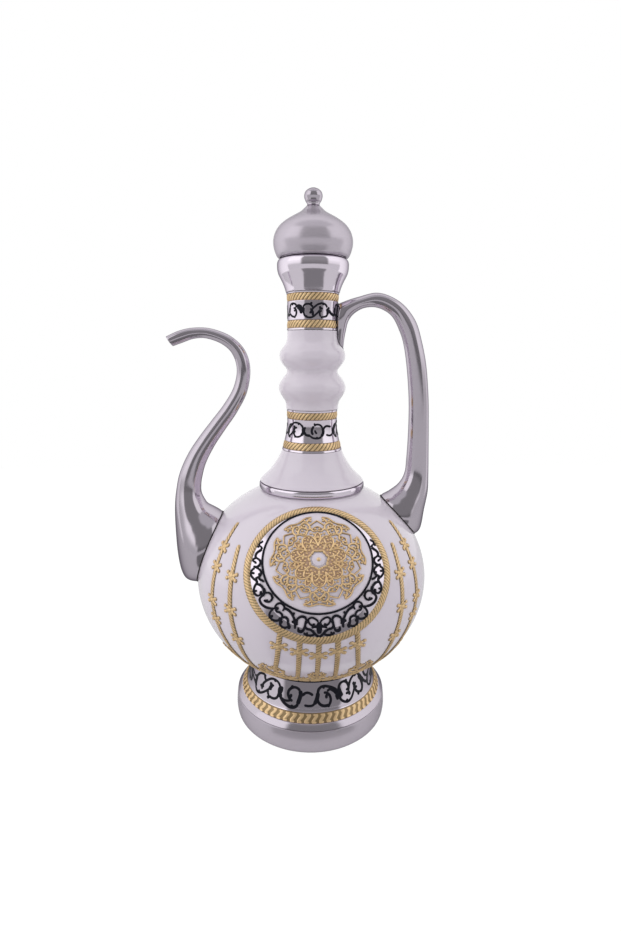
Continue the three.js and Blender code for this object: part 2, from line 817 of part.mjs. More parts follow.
function addNeck() {
  piece("globe_shell", globeShell(), enamel);
  piece("shoulder_gasket", shoulderGasket(), rubber);
  piece("shoulder_rim", shoulderRim(), chrome);
  piece("shoulder_skirt", shoulderSkirt(), enamel);
  for (const [name, band] of [["lower", lowerBand], ["upper", upperBand]]) {
    const sleeve = bandSleeve(band);
    piece(name + "_band", name === "upper" ? less(sleeve, saddlePin(boreGap)) : sleeve, chrome);
    const [low, high] = ropeSpans(band);
    piece(name + "_band_rope_bottom", ropeRing(band, low), gold);
    piece(name + "_band_rope_top", ropeRing(band, high), gold);
  }
  piece("neck_bulbs", neckBulbs(), enamel);
  piece("mouth_collar", mouthCollar(), chrome);
  piece("neck_liner", ring(linerBore, linerRadius, linerBottom, linerTop, neckFacets), steel);
  const thread = linerRadius + seatGap;
  piece("neck_clamp_ring", ring(thread, clampRingOuter, clampBottom, clampTop, neckFacets), steel);
  const neckNutBottom = neckNutTop - neckNutHeight;
  piece("neck_lock_nut", ring(thread, neckNutOuter, neckNutBottom, neckNutTop, neckFacets), steel);
}

// Lid: a dome over a plug, drawn together by the finial's stud, with a seal ring round the plug
const flangeUnder = collarTop + seatGap;
const domeBottom = flangeUnder + 0.2;
const domeTop = domeBottom + lidDomeHeight - 0.2;
const plugRadius = mouthBore - lidPlugPlay;
const plugBottom = flangeUnder - lidPlugDepth;
const flangeRadius = lidRimRadius - lidWall - seatGap;
const studHole = finialStudRadius + seatGap;

function lidDome() {
  const shoulder = domeBottom + lidShoulderHeight;
  const ledge = flangeUnder + lidFlangeThickness + seatGap;
  const crown = domeTop - lidWall;
  // The dome rises from its shoulder to its crown as a flattened quarter round, then flares into the seat.
  const outer = [
    [lidRimRadius, domeBottom],
    [lidRadius - lidShoulderEase, shoulder - lidShoulderLead],
    [lidRadius, shoulder],
  ];
  const rows = 6;
  for (let row = 1; row < rows; row++) {
    const angle = (row / rows) * (Math.PI / 2);
    outer.push([lidRadius * Math.cos(angle), shoulder + (domeTop - 3 - shoulder) * Math.sin(angle) ** 1.25]);
  }
  const lowered = (r) => (r < lidRadius * 0.8 ? lidWall : 0);
  const inner = outer.slice(1).map(([r, z]) => [r - lidWall, z - lowered(r)]).reverse();
  return lathe(
    [
      ...outer,
      [finialCollarRadius + 0.8, domeTop],
      [studHole, domeTop],
      [studHole, crown - 3],
      ...inner,
      [lidRimRadius - lidWall - 3, ledge + lidWall],
      [lidRimRadius - lidWall - 3, ledge],
      [lidRimRadius - lidWall, ledge],
      [lidRimRadius - lidWall, domeBottom],
    ],
    neckFacets,
  );
}

function lidPlug() {
  const inner = plugRadius - lidPlugWall;
  const grooveBottom = plugBottom + sealAboveFloor - seatGap;
  const grooveTop = grooveBottom + sealHeight + 2 * seatGap;
  const groove = plugRadius - sealGrooveDepth;
  return lathe(
    [
      [studHole, plugBottom],
      [plugRadius - 0.6, plugBottom],
      [plugRadius, plugBottom + 0.6],
      [plugRadius, grooveBottom],
      [groove, grooveBottom],
      [groove, grooveTop],
      [plugRadius, grooveTop],
      [plugRadius, flangeUnder],
      [flangeRadius, flangeUnder],
      [flangeRadius, flangeUnder + lidFlangeThickness],
      [inner, flangeUnder + lidFlangeThickness],
      [inner, plugBottom + lidPlugFloor],
      [studHole, plugBottom + lidPlugFloor],
    ],
    neckFacets,
  );
}

function lidSeal() {
  const bottom = plugBottom + sealAboveFloor;
  const top = bottom + sealHeight;
  const inner = plugRadius - sealGrooveDepth + seatGap;
  const outer = mouthBore - seatGap;
  return lathe(
    [
      [inner, bottom],
      [outer - 0.6, bottom],
      [outer, bottom + sealHeight / 2],
      [outer - 0.6, top],
      [inner, top],
    ],
    neckFacets,
  );
}

const finialNutTop = plugBottom - seatGap;
const finialStudBottom = finialNutTop - finialNutHeight - 1;

function lidFinial() {
  const seat = domeTop + seatGap;
  const top = seat + finialHeight;
  const ballCentre = top - finialBallRise;
  const outline = [[0, finialStudBottom], [finialStudRadius, finialStudBottom], [finialStudRadius, seat]];
  outline.push([finialCollarRadius + 0.6, seat], [finialCollarRadius, seat + 1.6]);
  const rows = 6;
  for (let row = 0; row < rows; row++) {
    const angle = radians(-38 + (row * (90 + 38)) / rows);
    outline.push([finialBallRadius * Math.cos(angle), ballCentre + finialBallRise * Math.sin(angle)]);
  }
  return lathe([...outline, [0, top]], smallFacets);
}

function addLid() {
  piece("lid_dome", lidDome(), satin);
  piece("lid_plug", lidPlug(), chrome);
  piece("lid_seal_ring", lidSeal(), silicone);
  piece("lid_finial", lidFinial(), chrome);
  piece("lid_nut", hexNut(finialStudRadius, finialNutTop - finialNutHeight, finialNutTop), steel);
}

// Spout and handle: ellipses between two edge lines in the XZ plane
function edgeCurve(stations, column) {
  const points = stations.map((row) => new THREE.Vector3(row[column], row[column + 1], row[4]));
  return new THREE.CatmullRomCurve3(points, false, "centripetal");
}

// Rings of an outline between two shares of its length, drawn in by an inset, with overshoot past each end.
function sections(stations, from, to, inset, overshoot = 0, perStation = stepsPerStation) {
  const [near, far] = [edgeCurve(stations, 0), edgeCurve(stations, 2)];
  const steps = Math.max(1, Math.round((to - from) * (stations.length - 1) * perStation));
  const rings = [];
  for (let step = 0; step <= steps; step++) {
    const share = from + ((to - from) * step) / steps;
    const [a, b] = [near.getPoint(share), far.getPoint(share)];
    const centre = new THREE.Vector3((a.x + b.x) / 2, 0, (a.y + b.y) / 2);
    const half = new THREE.Vector3((b.x - a.x) / 2, 0, (b.y - a.y) / 2);
    half.setLength(half.length() - inset);
    const depth = a.z - inset;
    const points = [];
    for (let side = 0; side < tubeSides; side++) {
      const angle = (2 * Math.PI * side) / tubeSides;
      const point = centre.clone().addScaledVector(half, Math.cos(angle));
      points.push(point.setY(depth * Math.sin(angle)));
    }
    rings.push(points);
  }
  if (overshoot > 0) {
    const extended = (end, next) => {
      const away = end[0].clone().sub(next[0]).setLength(overshoot);
      return end.map((point) => point.clone().add(away));
    };
    rings.unshift(extended(rings[0], rings[1]));
    rings.push(extended(rings[rings.length - 1], rings[rings.length - 2]));
  }
  return rings;
}

const spoutOutline = spoutStations.map(([ax, az, bx, bz, depth]) => [
  -(globeRadius + ax),
  globeCentre + az,
  -(globeRadius + bx),
  globeCentre + bz,
  depth,
]);
const splitShare = spoutSplit / (spoutStations.length - 1);
const stationShare = 1 / (spoutStations.length - 1);

// The share of the outline that lies a short distance before the split.
function beforeSplit(distance) {
  const curve = edgeCurve(spoutOutline, 0);
  const stepLength = curve.getPoint(splitShare).distanceTo(curve.getPoint(splitShare - stationShare));
  return splitShare - (distance / stepLength) * stationShare;
}

// The lock nut's face, along the spigot from the globe's surface.
const spoutNutTop = -(globeWall + wallSag(spoutNutOuter) + hollowGap);

// The root is a hollow flared foot with a floor on the globe's side, and a threaded spigot through the wall.
function spoutRoot() {
  const top = beforeSplit(seatGap);
  const skin = less(loft(sections(spoutOutline, 0, top, 0)), globeTool(baseSeat));
  const inner = loft(sections(spoutOutline, stationShare / 2, top, spoutWall, 1));
  const hollow = less(inner, globeTool(baseSeat + rootFloor));
  const inside = spoutNutTop - spoutNutHeight - 2;
  const spigot = rod(spigotRadius, along(spoutFrame, inside), along(spoutFrame, baseSeat + rootFloor / 2));
  const boreEnd = along(spoutFrame, baseSeat + rootFloor + 3);
  const bore = rod(spigotRadius - spigotWall, along(spoutFrame, inside - 1), boreEnd);
  return less(joined(less(skin, hollow), spigot), bore);
}

// The tube, with a sleeve that reaches down into the root.
function spoutTube() {
  const skin = loft(sections(spoutOutline, splitShare, 1, 0));
  const bore = loft(sections(spoutOutline, splitShare, 1, spoutWall, 1, 1));
  const from = beforeSplit(sleeveLength);
  const to = splitShare + stationShare / 2;
  const sleeve = loft(sections(spoutOutline, from, to, spoutWall + seatGap));
  const sleeveBore = loft(sections(spoutOutline, from, to, spoutWall + seatGap + sleeveWall, 1));
  const collar = loft(sections(spoutOutline, splitShare, to, spoutWall / 2));
  const collarBore = loft(sections(spoutOutline, splitShare, to, spoutWall + seatGap + sleeveWall, 1));
  return joined(less(skin, bore), less(collar, collarBore), less(sleeve, sleeveBore));
}

// A thin oval gasket on the globe, about a meridian frame's axis, with a round hole.
function baseGasket(sign, height, wide, tall, hole) {
  const frame = meridian(sign, height);
  const rise = new THREE.Vector3(-sign * frame.out.z, 0, sign * frame.out.x);
  const chart = (u, v, lift) => {
    const start = new THREE.Vector3(0, u, 0).addScaledVector(rise, v).add(frame.point);
    return shoot(start.addScaledVector(frame.out, -globeWall * 8), frame.out, lift);
  };
  const edge = oval(wide, tall, ovalFacets);
  return sheet(chart, edge, hole(frame, rise), 2, seatGap, seatGap + baseGasketThickness);
}

function oval(wide, tall, count, lift = 0) {
  return Array.from({ length: count }, (_, k) => {
    const angle = (2 * Math.PI * k) / count;
    return [wide * Math.cos(angle), tall * Math.sin(angle) + lift];
  });
}

// Where a ray from inside the globe meets its surface, moved out by a lift.
function shoot(start, direction, lift) {
  const from = start.clone().setZ(start.z - globeCentre);
  let found = null;
  for (const span of [globeRise, globeDrop]) {
    const squeeze = new THREE.Vector3(1 / globeRadius, 1 / globeRadius, 1 / span);
    const [start, way] = [from.clone().multiply(squeeze), direction.clone().multiply(squeeze)];
    const [a, b, c] = [way.lengthSq(), start.dot(way), start.lengthSq() - 1];
    const hit = from.clone().addScaledVector(direction, (Math.sqrt(b * b - a * c) - b) / a);
    if (hit.z >= 0 === (span === globeRise) || !found) found = hit;
  }
  const normal = globeNormal(Math.hypot(found.x, found.y), found.z);
  const flat = new THREE.Vector3(found.x, found.y, 0).normalize();
  found.addScaledVector(flat, normal.x * lift);
  return found.setZ(found.z + normal.y * lift + globeCentre);
}

function addSpout() {
  piece("spout_root", spoutRoot(), chrome);
  piece("spout_tube", spoutTube(), chrome);
  const bore = spigotRadius + boreGap;
  // The gasket's hole lies below its middle, where the spigot passes.
  const hole = (frame, rise) => {
    const drop = spoutFrame.point.clone().sub(frame.point).dot(rise);
    return oval(bore, bore, ovalFacets, drop);
  };
  const gasket = baseGasket(-1, spoutGasketHeight, spoutGasketWide, spoutGasketTall, hole);
  piece("spout_gasket", gasket, rubber);
  const inner = spigotRadius + seatGap;
  const nut = ring(inner, spoutNutOuter, spoutNutTop - spoutNutHeight, spoutNutTop, smallFacets);
  piece("spout_lock_nut", placed(nut, spoutFrame), steel);
}

// Stations of the handle, measured from their own origins, as stations in the part's frame.
function shifted(stations, x, z) {
  return stations.map(([ax, az, bx, bz, depth]) => [x + ax, z + az, x + bx, z + bz, depth]);
}
const handleOutline = [
  ...shifted(saddleStations, 0, upperBandBottom),
  ...shifted(gripStations, globeRadius, upperBandBottom),
  ...shifted(rootStations, globeRadius, globeCentre),
];

// Everything of the neck that the saddle wraps, stood off by a gap.
function neckTool() {
  const outline = neckOutline().map(([r, z]) => [r + neckCutGap, z]);
  const rows = 6;
  for (let row = 0; row <= rows; row++) {
    const height = upperBandBottom + (row / rows) * upperBandHeight;
    outline.push([bandRadius(upperBand, height) + ropeProud + neckCutGap, height]);
  }
  outline.push([collarFootRadius + neckCutGap, collarTop], [0, collarTop]);
  return lathe([[0, bulbsBottom], ...outline], neckFacets);
}

// The dowel between the handle's saddle and the upper band, grown by a clearance.
function saddlePin(grow) {
  const height = upperBandBottom + upperBandHeight / 2;
  const start = new THREE.Vector3(linerRadius + seatGap - grow, 0, height);
  const end = new THREE.Vector3(bandRadius(upperBand, height) + saddlePinGrip + grow, 0, height);
  return rod(saddlePinRadius + grow, start, end, smallFacets);
}

function handleBody() {
  const grip = loft(sections(handleOutline, 0, 1, 0));
  const studEnd = along(handleFrame, baseSeat + handleStudGrip);
  const stud = rod(handleStudRadius + seatGap, along(handleFrame, 0), studEnd);
  return less(grip, globeTool(baseSeat), neckTool(), stud, saddlePin(seatGap));
}

function addHandle() {
  piece("handle", handleBody(), chrome);
  const bore = handleStudRadius + boreGap;
  const hole = () => oval(bore, bore, ovalFacets);
  const gasket = baseGasket(1, handleGasketHeight, handleGasketWide, handleGasketTall, hole);
  piece("handle_gasket", gasket, rubber);
  const washerTop = -(globeWall + wallSag(handleWasherRadius) + hollowGap);
  const washerUnder = washerTop - handleWasherThickness;
  const nutTop = washerUnder - seatGap;
  const nutBottom = nutTop - handleNutHeight;
  const inner = handleStudRadius + seatGap;
  const washer = ring(inner, handleWasherRadius, washerUnder, washerTop, smallFacets);
  piece("handle_washer", placed(washer, handleFrame), steel);
  piece("handle_nut", placed(hexNut(handleStudRadius, nutBottom, nutTop), handleFrame), steel);
  const studEnd = along(handleFrame, baseSeat + handleStudGrip - seatGap);
  piece("handle_stud", rod(handleStudRadius, along(handleFrame, nutBottom - boltTail), studEnd), steel);
  piece("handle_saddle_pin", saddlePin(0), steel);
}

// Medallions: an oval plate, a rope ring, a raised disc and a rosette, all following the globe
const lean = radians(medallionLean);
const medallionAxis = new THREE.Vector3(0, -Math.cos(lean), Math.sin(lean));
const medallionRise = new THREE.Vector3(0, Math.sin(lean), Math.cos(lean));

function onMedallion(u, v, lift) {
  const start = new THREE.Vector3(u, 0, globeCentre - medallionDrop).addScaledVector(medallionRise, v);
  return shoot(start, medallionAxis, lift);
}

const plateLift = seatGap + plateThickness;
const discLift = plateLift + seatGap;
const rosetteLift = discLift + discThickness + seatGap;

function rosetteOutline() {
  const count = rosettePetals * 8;
  return Array.from({ length: count }, (_, k) => {
    const angle = (2 * Math.PI * k) / count;
    const petal = rosetteRadius - rosettePetalDepth * (1 - Math.abs(Math.cos((rosettePetals * angle) / 2)));
    const squeeze = discTall / discWide;
    return [petal * Math.sin(angle), discRise + squeeze * petal * Math.cos(angle)];
  });
}

function addMedallion(name, turn) {
  const side = new THREE.Group();
  side.rotation.z = turn;
  model.add(side);
  const edge = oval(medallionWide, medallionTall, ovalFacets);
  const ropeInner = oval(medallionWide - ropeRingWidth, medallionTall - ropeRingWidth, ovalFacets);
  const disc = oval(discWide, discTall, ovalFacets, discRise);
  const plate = sheet(onMedallion, edge, [[0, 0]], 5, seatGap, plateLift);
  piece(name + "_medallion_plate", plate, chrome, side);
  const rope = sheet(onMedallion, edge, ropeInner, 1, discLift, discLift + ropeRingHeight);
  piece(name + "_medallion_rope", rope, gold, side);
  const raised = sheet(onMedallion, disc, [[0, discRise]], 3, discLift, discLift + discThickness);
  piece(name + "_medallion_disc", raised, enamel, side);
  const rosetteTop = rosetteLift + rosetteThickness;
  const flower = sheet(onMedallion, rosetteOutline(), [[0, discRise]], 2, rosetteLift, rosetteTop);
  piece(name + "_rosette", flower, gold, side);
}

// Reeds: narrow rods down the globe with a wider knot here and there
const laceFront = (azimuth) => medallionFootAt(azimuth) - ropeRingWidth / 2;

// The height of the medallion's lower edge at an angle from the front.
function medallionFootAt(azimuth) {
  let best = Infinity;
  for (const [u, v] of oval(medallionWide, medallionTall, ovalFacets * 4)) {
    const point = onMedallion(u, v, seatGap);
    const angle = THREE.MathUtils.radToDeg(Math.atan2(point.x, -point.y));
    if (v < 0 && Math.abs(angle - azimuth) < 3) best = Math.min(best, point.z - globeCentre);
  }
  return best;
}

function reed(azimuthAt, top, bottom, knots) {
  const stops = new Set([top, bottom]);
  for (let height = top - reedRowStep; height > bottom + reedEndMargin; height -= reedRowStep) {
    stops.add(height);
  }
  for (const knot of knots) {
    for (const share of [-1, -0.5, 0.5, 1]) stops.add(knot + (share * reedKnotLength) / 2);
  }
  const heights = [...stops].filter((height) => height <= top && height >= bottom).sort((a, b) => b - a);
  const spaced = heights.filter((height, k) => k === 0 || heights[k - 1] - height > 0.5);
  return loft(
    spaced.map((height) => {
      const knotted = knots.some((knot) => Math.abs(height - knot) < reedKnotLength * 0.3);
      const half = knotted ? reedKnotHalfWidth : reedHalfWidth;
      const middle = onGlobe(azimuthAt(height), height);
      const spread = THREE.MathUtils.radToDeg(half / Math.hypot(middle.x, middle.y));
      const azimuth = azimuthAt(height);
      return [
        onGlobe(azimuth - spread, height, seatGap),
        onGlobe(azimuth + spread, height, seatGap),
        onGlobe(azimuth + spread / 2, height, seatGap + reedHeight),
        onGlobe(azimuth - spread / 2, height, seatGap + reedHeight),
      ];
    }),
  );
}

// Long reeds stand at both sides of each medallion, on the lace ring.
function addLongReeds(name, turn) {
  for (const [place, rule] of [["inner", innerReed], ["outer", outerReed]]) {
    for (const [hand, sign] of [["left", -1], ["right", 1]]) {
      const azimuthAt = (height) => turn + sign * (rule.azimuth + rule.lean * (height - reedLeanFrom));
      const stem = reed(azimuthAt, rule.top, laceTop + seatGap, rule.knots);
      piece(name + "_reed_" + place + "_" + hand, stem, gold);
    }
  }
}

// The lace ring runs round the foot of the globe and carries the short reeds and the palmettes.
function laceRing() {
  const count = globeFacets + 8;
  const around = (height) => Array.from({ length: count }, (_, k) => [(360 * k) / count, height]);
  const band = sheet(onGlobe, around(laceBottom), around(laceTop), 1, seatGap, seatGap + laceHeight);
  const risers = [];
  for (const turn of [0, 180]) {
    for (const azimuth of shortReeds) {
      const top = laceFront(azimuth);
      risers.push(reed(() => turn + azimuth, top, laceBottom + 1.5, [top - shortReedKnotDrop]));
    }
    for (const azimuth of palmettes) {
      const rows = [laceBottom + 1, laceTop + palmetteHeight / 3, laceTop + palmetteHeight];
      const widths = [palmetteHalfWidth * 0.8, palmetteHalfWidth, palmetteHalfWidth / 4];
      risers.push(
        loft(
          rows.map((height, k) => {
            const middle = onGlobe(0, height);
            const spread = THREE.MathUtils.radToDeg(widths[k] / Math.hypot(middle.x, middle.y));
            const lifts = [seatGap, seatGap, seatGap + laceHeight, seatGap + laceHeight];
            const across = [-spread, spread, spread, -spread];
            return across.map((step, corner) => onGlobe(turn + azimuth + step, height, lifts[corner]));
          }),
        ),
      );
    }
  }
  return joined(band, ...risers);
}

addFoot();
addNeck();
addLid();
addSpout();
addHandle();
addMedallion("front", 0);
addMedallion("back", Math.PI);
addLongReeds("front", 0);
addLongReeds("back", 180);
piece("lace_ring", laceRing(), gold);

export default model;
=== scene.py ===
"""The looks of a lidded ewer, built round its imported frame.

Lengths are in millimetres until a mesh is made. Only the materials, the stage and the camera are in metres.
The spout points along -X, the handle along +X, and the front medallion faces -Y. Angles round the ewer are
degrees from the front, towards +X.
"""

import json
import math

import bmesh
import bpy
import numpy as np
from bpy.props import FloatProperty, FloatVectorProperty, IntProperty, PointerProperty
from bpy.types import Operator, Panel, PropertyGroup
from mathutils import Matrix, Vector


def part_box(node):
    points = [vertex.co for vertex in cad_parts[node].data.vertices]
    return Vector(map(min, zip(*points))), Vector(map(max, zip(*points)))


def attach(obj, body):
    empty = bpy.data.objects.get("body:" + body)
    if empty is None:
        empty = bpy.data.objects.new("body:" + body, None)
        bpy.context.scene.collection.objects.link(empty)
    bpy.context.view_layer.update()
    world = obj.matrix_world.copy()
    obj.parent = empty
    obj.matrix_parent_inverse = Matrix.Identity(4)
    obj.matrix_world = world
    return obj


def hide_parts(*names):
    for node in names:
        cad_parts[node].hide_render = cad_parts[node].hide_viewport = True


bl_info = {
    "name": "Ewer",
    "version": (1, 0, 0),
    "blender": (4, 5, 0),
    "location": "3D View > Sidebar > Ewer",
    "description": "Builds a lidded ewer with its ornament and materials round a packed frame",
    "category": "Add Mesh",
}

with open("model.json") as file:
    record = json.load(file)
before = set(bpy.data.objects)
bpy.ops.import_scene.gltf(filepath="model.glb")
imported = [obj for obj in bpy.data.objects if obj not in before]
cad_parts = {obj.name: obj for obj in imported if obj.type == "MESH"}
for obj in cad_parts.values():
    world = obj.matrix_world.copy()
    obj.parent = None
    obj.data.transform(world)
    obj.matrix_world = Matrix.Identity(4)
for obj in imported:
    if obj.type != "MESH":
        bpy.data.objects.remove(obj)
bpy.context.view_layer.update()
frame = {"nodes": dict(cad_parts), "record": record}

MM = 0.001

# Globe: two half-ellipses that share their widest circle, with a hole in its crown and one in its floor
GLOBE_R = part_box("globe_shell")[1][0] / MM
GLOBE_UP = 76.0
GLOBE_DOWN = 78.5
GLOBE_SEAT_R = 50.0
GLOBE_SEAT_Z = 55.3
GLOBE_Z = GLOBE_SEAT_Z + GLOBE_DOWN * math.sqrt(1 - (GLOBE_SEAT_R / GLOBE_R) ** 2)
GLOBE_CENTRE = np.array([0, 0, GLOBE_Z])
GLOBE_WALL = 3.5
CROWN_HOLE_R = 17.0
FLOOR_HOLE_R = 4.6
GLOBE_FACETS = 240
GLOBE_ROWS = 121

# The foot flare's radius at each height, which its scroll follows
FOOT_FLARE = [(52.2, 29.9), (50.9, 33.2), (50.2, 36.9), (49.8, 41.7), (49.72, 46), (49.8, 50)]
FOOT_FLARE += [(49.95, 53.6)]

# The neck's two bands: radius and height
LOWER_BAND = [(22.3, 218.5), (21.3, 222.6), (20.0, 227.4), (19.1, 232.0), (18.5, 237.0), (18.6, 242.0)]
LOWER_BAND += [(18.8, 248.1)]
UPPER_BAND = [(18.5, 304.8), (18.35, 308.0), (18.15, 313.0), (18.1, 318.0), (18.25, 323.0), (18.5, 327.2)]
UPPER_BAND += [(18.9, 330.3)]
# Each band with the heights of its two ropes
BANDS = [
    ("lower_band", LOWER_BAND, ((219.8, 225.3), (241.6, 246.9))),
    ("upper_band", UPPER_BAND, ((306.0, 311.5), (324.4, 329.6))),
]
# The white neck between them: radius and height
NECK_BULBS = [(19.35, 249.2), (19.6, 252.0), (20.5, 254.8), (22.6, 258.0), (24.2, 261.2), (24.6, 264.0)]
NECK_BULBS += [(24.0, 267.2), (21.6, 271.0), (19.3, 273.8), (18.7, 275.7), (19.3, 277.8), (21.6, 280.6)]
NECK_BULBS += [(23.5, 283.8), (24.05, 287.0), (23.4, 290.2), (21.2, 293.4), (19.3, 295.9), (18.6, 298.4)]
NECK_BULBS += [(18.4, 301.4), (18.4, 304.0)]
NECK_BORE_R = 15.8


# Sizes and colours that a user would change


class EwerSizes(PropertyGroup):
    """Sizes of the finish and the ornament"""

    facets: IntProperty(name="Facets", description="Facets round a turned piece", default=160, min=24)
    engraving: FloatProperty(
        name="Engraving", description="Height of the enamel lines, in millimetres", default=0.2, min=0.05
    )
    gold_relief: FloatProperty(
        name="Gold relief", description="Height of the gold lines, in millimetres", default=0.8, min=0.1
    )


class EwerColours(PropertyGroup):
    """Colours of the finishes"""

    chrome: FloatVectorProperty(
        name="Chrome", description="Polished metal", subtype="COLOR", size=3, default=(0.86, 0.785, 0.88)
    )
    glaze: FloatVectorProperty(
        name="Glaze", description="Pearl white body", subtype="COLOR", size=3, default=(0.70, 0.64, 0.71)
    )
    gold: FloatVectorProperty(
        name="Gold", description="Pale gold ornament", subtype="COLOR", size=3, default=(0.92, 0.66, 0.37)
    )
    enamel: FloatVectorProperty(
        name="Black enamel",
        description="Scrollwork",
        subtype="COLOR",
        size=3,
        default=(0.008, 0.008, 0.012),
    )


def sizes():
    """The ewer's sizes in the open scene."""
    return bpy.context.scene.ewer_sizes


def colours():
    """The ewer's colours in the open scene."""
    return bpy.context.scene.ewer_colours


# Lines and outlines


def spline(points, steps=8):
    """A smooth line through points of any dimension."""
    p = np.asarray(points, float)
    q = np.vstack([2 * p[0] - p[1], p, 2 * p[-1] - p[-2]])
    t = np.linspace(0, 1, steps, endpoint=False)[:, None]
    out = []
    for a, b, c, d in zip(q, q[1:], q[2:], q[3:]):
        square = 2 * a - 5 * b + 4 * c - d
        cube = 3 * b - a - 3 * c + d
        out.append(0.5 * (2 * b + (c - a) * t + square * t**2 + cube * t**3))
    return np.vstack(out + [p[-1:]])


def rounded(corners, radius, steps=4, closed=True, most=0.45):
    """An outline with its corners rounded. A corner (r, z, f) has its own radius f; 0 keeps it as it is.
    A rounding takes at most this share of each side."""
    count = len(corners)
    out = []
    for k, corner in enumerate(corners):
        here = np.array(corner[:2], float)
        own = corner[2] if len(corner) > 2 else radius
        ends = not closed and k in (0, count - 1)
        if own <= 0 or ends:
            out.append(here)
            continue
        back = np.array(corners[k - 1][:2], float) - here
        ahead = np.array(corners[(k + 1) % count][:2], float) - here
        reach = min(own, most * np.linalg.norm(back), most * np.linalg.norm(ahead))
        start = here + back / np.linalg.norm(back) * reach
        end = here + ahead / np.linalg.norm(ahead) * reach
        for t in np.linspace(0, 1, steps + 1):
            out.append((1 - t) ** 2 * start + 2 * t * (1 - t) * here + t**2 * end)
    return np.array(out)


def smooth(points, steps=8):
    """The same as spline, as corners that rounded leaves as they are."""
    return [(r, z, 0) for r, z in spline(points, steps)]


# Meshes


def grid_faces(rows, columns, close_rows=False):
    """Quads over a grid of points laid out row by row. Each row is a ring."""
    row = np.arange(rows if close_rows else rows - 1)
    column = np.arange(columns)
    a = (row[:, None] * columns + column[None, :]).ravel()
    b = (row[:, None] * columns + (column[None, :] + 1) % columns).ravel()
    c = (((row[:, None] + 1) % rows) * columns + (column[None, :] + 1) % columns).ravel()
    d = (((row[:, None] + 1) % rows) * columns + column[None, :]).ravel()
    return np.stack([a, b, c, d], axis=1)


def tube_faces(rows, columns):
    """Quads between rings of points, and a face over the first and the last ring."""
    ring = np.arange(columns)
    return [*grid_faces(rows, columns), ring, (rows - 1) * columns + ring]


def add_piece(name, points, faces, finish, slot, body="ewer", stands_for=(), sharp=32.0, depth=None):
    """A finished piece in the row's frame. depth is 0 in hollows and 1 on high places, for the painted
    shade in hollows.
    """
    mesh = bpy.data.meshes.new(name)
    mesh.from_pydata(np.asarray(points, float) * MM, [], [list(map(int, f)) for f in faces])
    if depth is not None:
        layer = mesh.attributes.new("depth", "FLOAT", "POINT")
        layer.data.foreach_set("value", np.asarray(depth, np.float32))
    shape = bmesh.new()
    shape.from_mesh(mesh)
    bmesh.ops.remove_doubles(shape, verts=shape.verts, dist=1e-7)
    bmesh.ops.dissolve_degenerate(shape, edges=shape.edges, dist=1e-8)
    bmesh.ops.recalc_face_normals(shape, faces=shape.faces)
    shape.to_mesh(mesh)
    shape.free()
    mesh.shade_smooth()
    mesh.set_sharp_from_angle(angle=math.radians(sharp))
    mesh.materials.append(finish)
    piece = bpy.data.objects.new(name, mesh)
    bpy.context.scene.collection.objects.link(piece)
    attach(piece, body)
    if stands_for:
        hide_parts(*stands_for)


def turned(name, outline, finish, slot, facets=None, **rest):
    """A solid of revolution about Z from a closed outline of (r, z)."""
    outline = np.asarray([p[:2] for p in outline], float)
    facets = facets or sizes().facets
    turn = np.linspace(0, 2 * math.pi, facets, endpoint=False)
    r, z = outline[:, :1], outline[:, 1:]
    points = np.stack([r * np.sin(turn), -r * np.cos(turn), z + 0 * turn], axis=-1)
    on_axis = outline[0, 0] < 1e-6
    faces = grid_faces(len(outline), facets, close_rows=not on_axis)
    add_piece(name, points.reshape(-1, 3), faces, finish, slot, **rest)


def skin(name, rings, finish, slot, **rest):
    """A tube's surface over rings, with a face at each end."""
    faces = tube_faces(*rings.shape[:2])
    add_piece(name, rings.reshape(-1, 3), faces, finish, slot, **rest)


# Places on the ewer


def globe_radius(height):
    """The globe's radius at a height above its widest circle."""
    span = np.where(np.asarray(height) < 0, GLOBE_DOWN, GLOBE_UP)
    return GLOBE_R * np.sqrt(np.clip(1 - (height / span) ** 2, 0, 1))


def lifted(points, lift):
    """Points on the globe moved out along its normal. Heights are above the widest circle."""
    x, y, h = np.moveaxis(np.asarray(points, float), -1, 0)
    span = np.where(h < 0, GLOBE_DOWN, GLOBE_UP)
    normal = np.stack([x / GLOBE_R**2, y / GLOBE_R**2, h / span**2], axis=-1)
    normal /= np.linalg.norm(normal, axis=-1, keepdims=True)
    return np.stack([x, y, h + GLOBE_Z], axis=-1) + normal * np.asarray(lift)[..., None]


def on_globe(azimuth, height, lift):
    """A place on the globe by its angle from the front and its height."""
    azimuth, height = np.broadcast_arrays(np.radians(azimuth), np.asarray(height) - GLOBE_Z)
    r = globe_radius(height)
    return lifted(np.stack([r * np.sin(azimuth), -r * np.cos(azimuth), height], axis=-1), lift)


def shoot(start, direction, lift):
    """Where rays from inside the globe meet it. Heights are above the widest circle."""
    found = None
    for span, above in ((GLOBE_UP, True), (GLOBE_DOWN, False)):
        scale = np.array([1 / GLOBE_R, 1 / GLOBE_R, 1 / span])
        p, d = start * scale, direction * scale
        a, b, c = (d * d).sum(-1), (p * d).sum(-1), (p * p).sum(-1) - 1
        hit = start + direction * (((np.sqrt(b * b - a * c) - b) / a)[..., None])
        found = hit if found is None else np.where((hit[..., 2:] >= 0) == above, hit, found)
    return lifted(found, lift)


def off_globe(points):
    """How far points stand off the globe, about: below 0 is inside."""
    h = points[..., 2] - GLOBE_Z
    span = np.where(h < 0, GLOBE_DOWN, GLOBE_UP)
    reach = np.sqrt((points[..., 0] ** 2 + points[..., 1] ** 2) / GLOBE_R**2 + (h / span) ** 2)
    return (reach - 1) * np.linalg.norm(points - GLOBE_CENTRE, axis=-1) / np.maximum(reach, 1e-6)


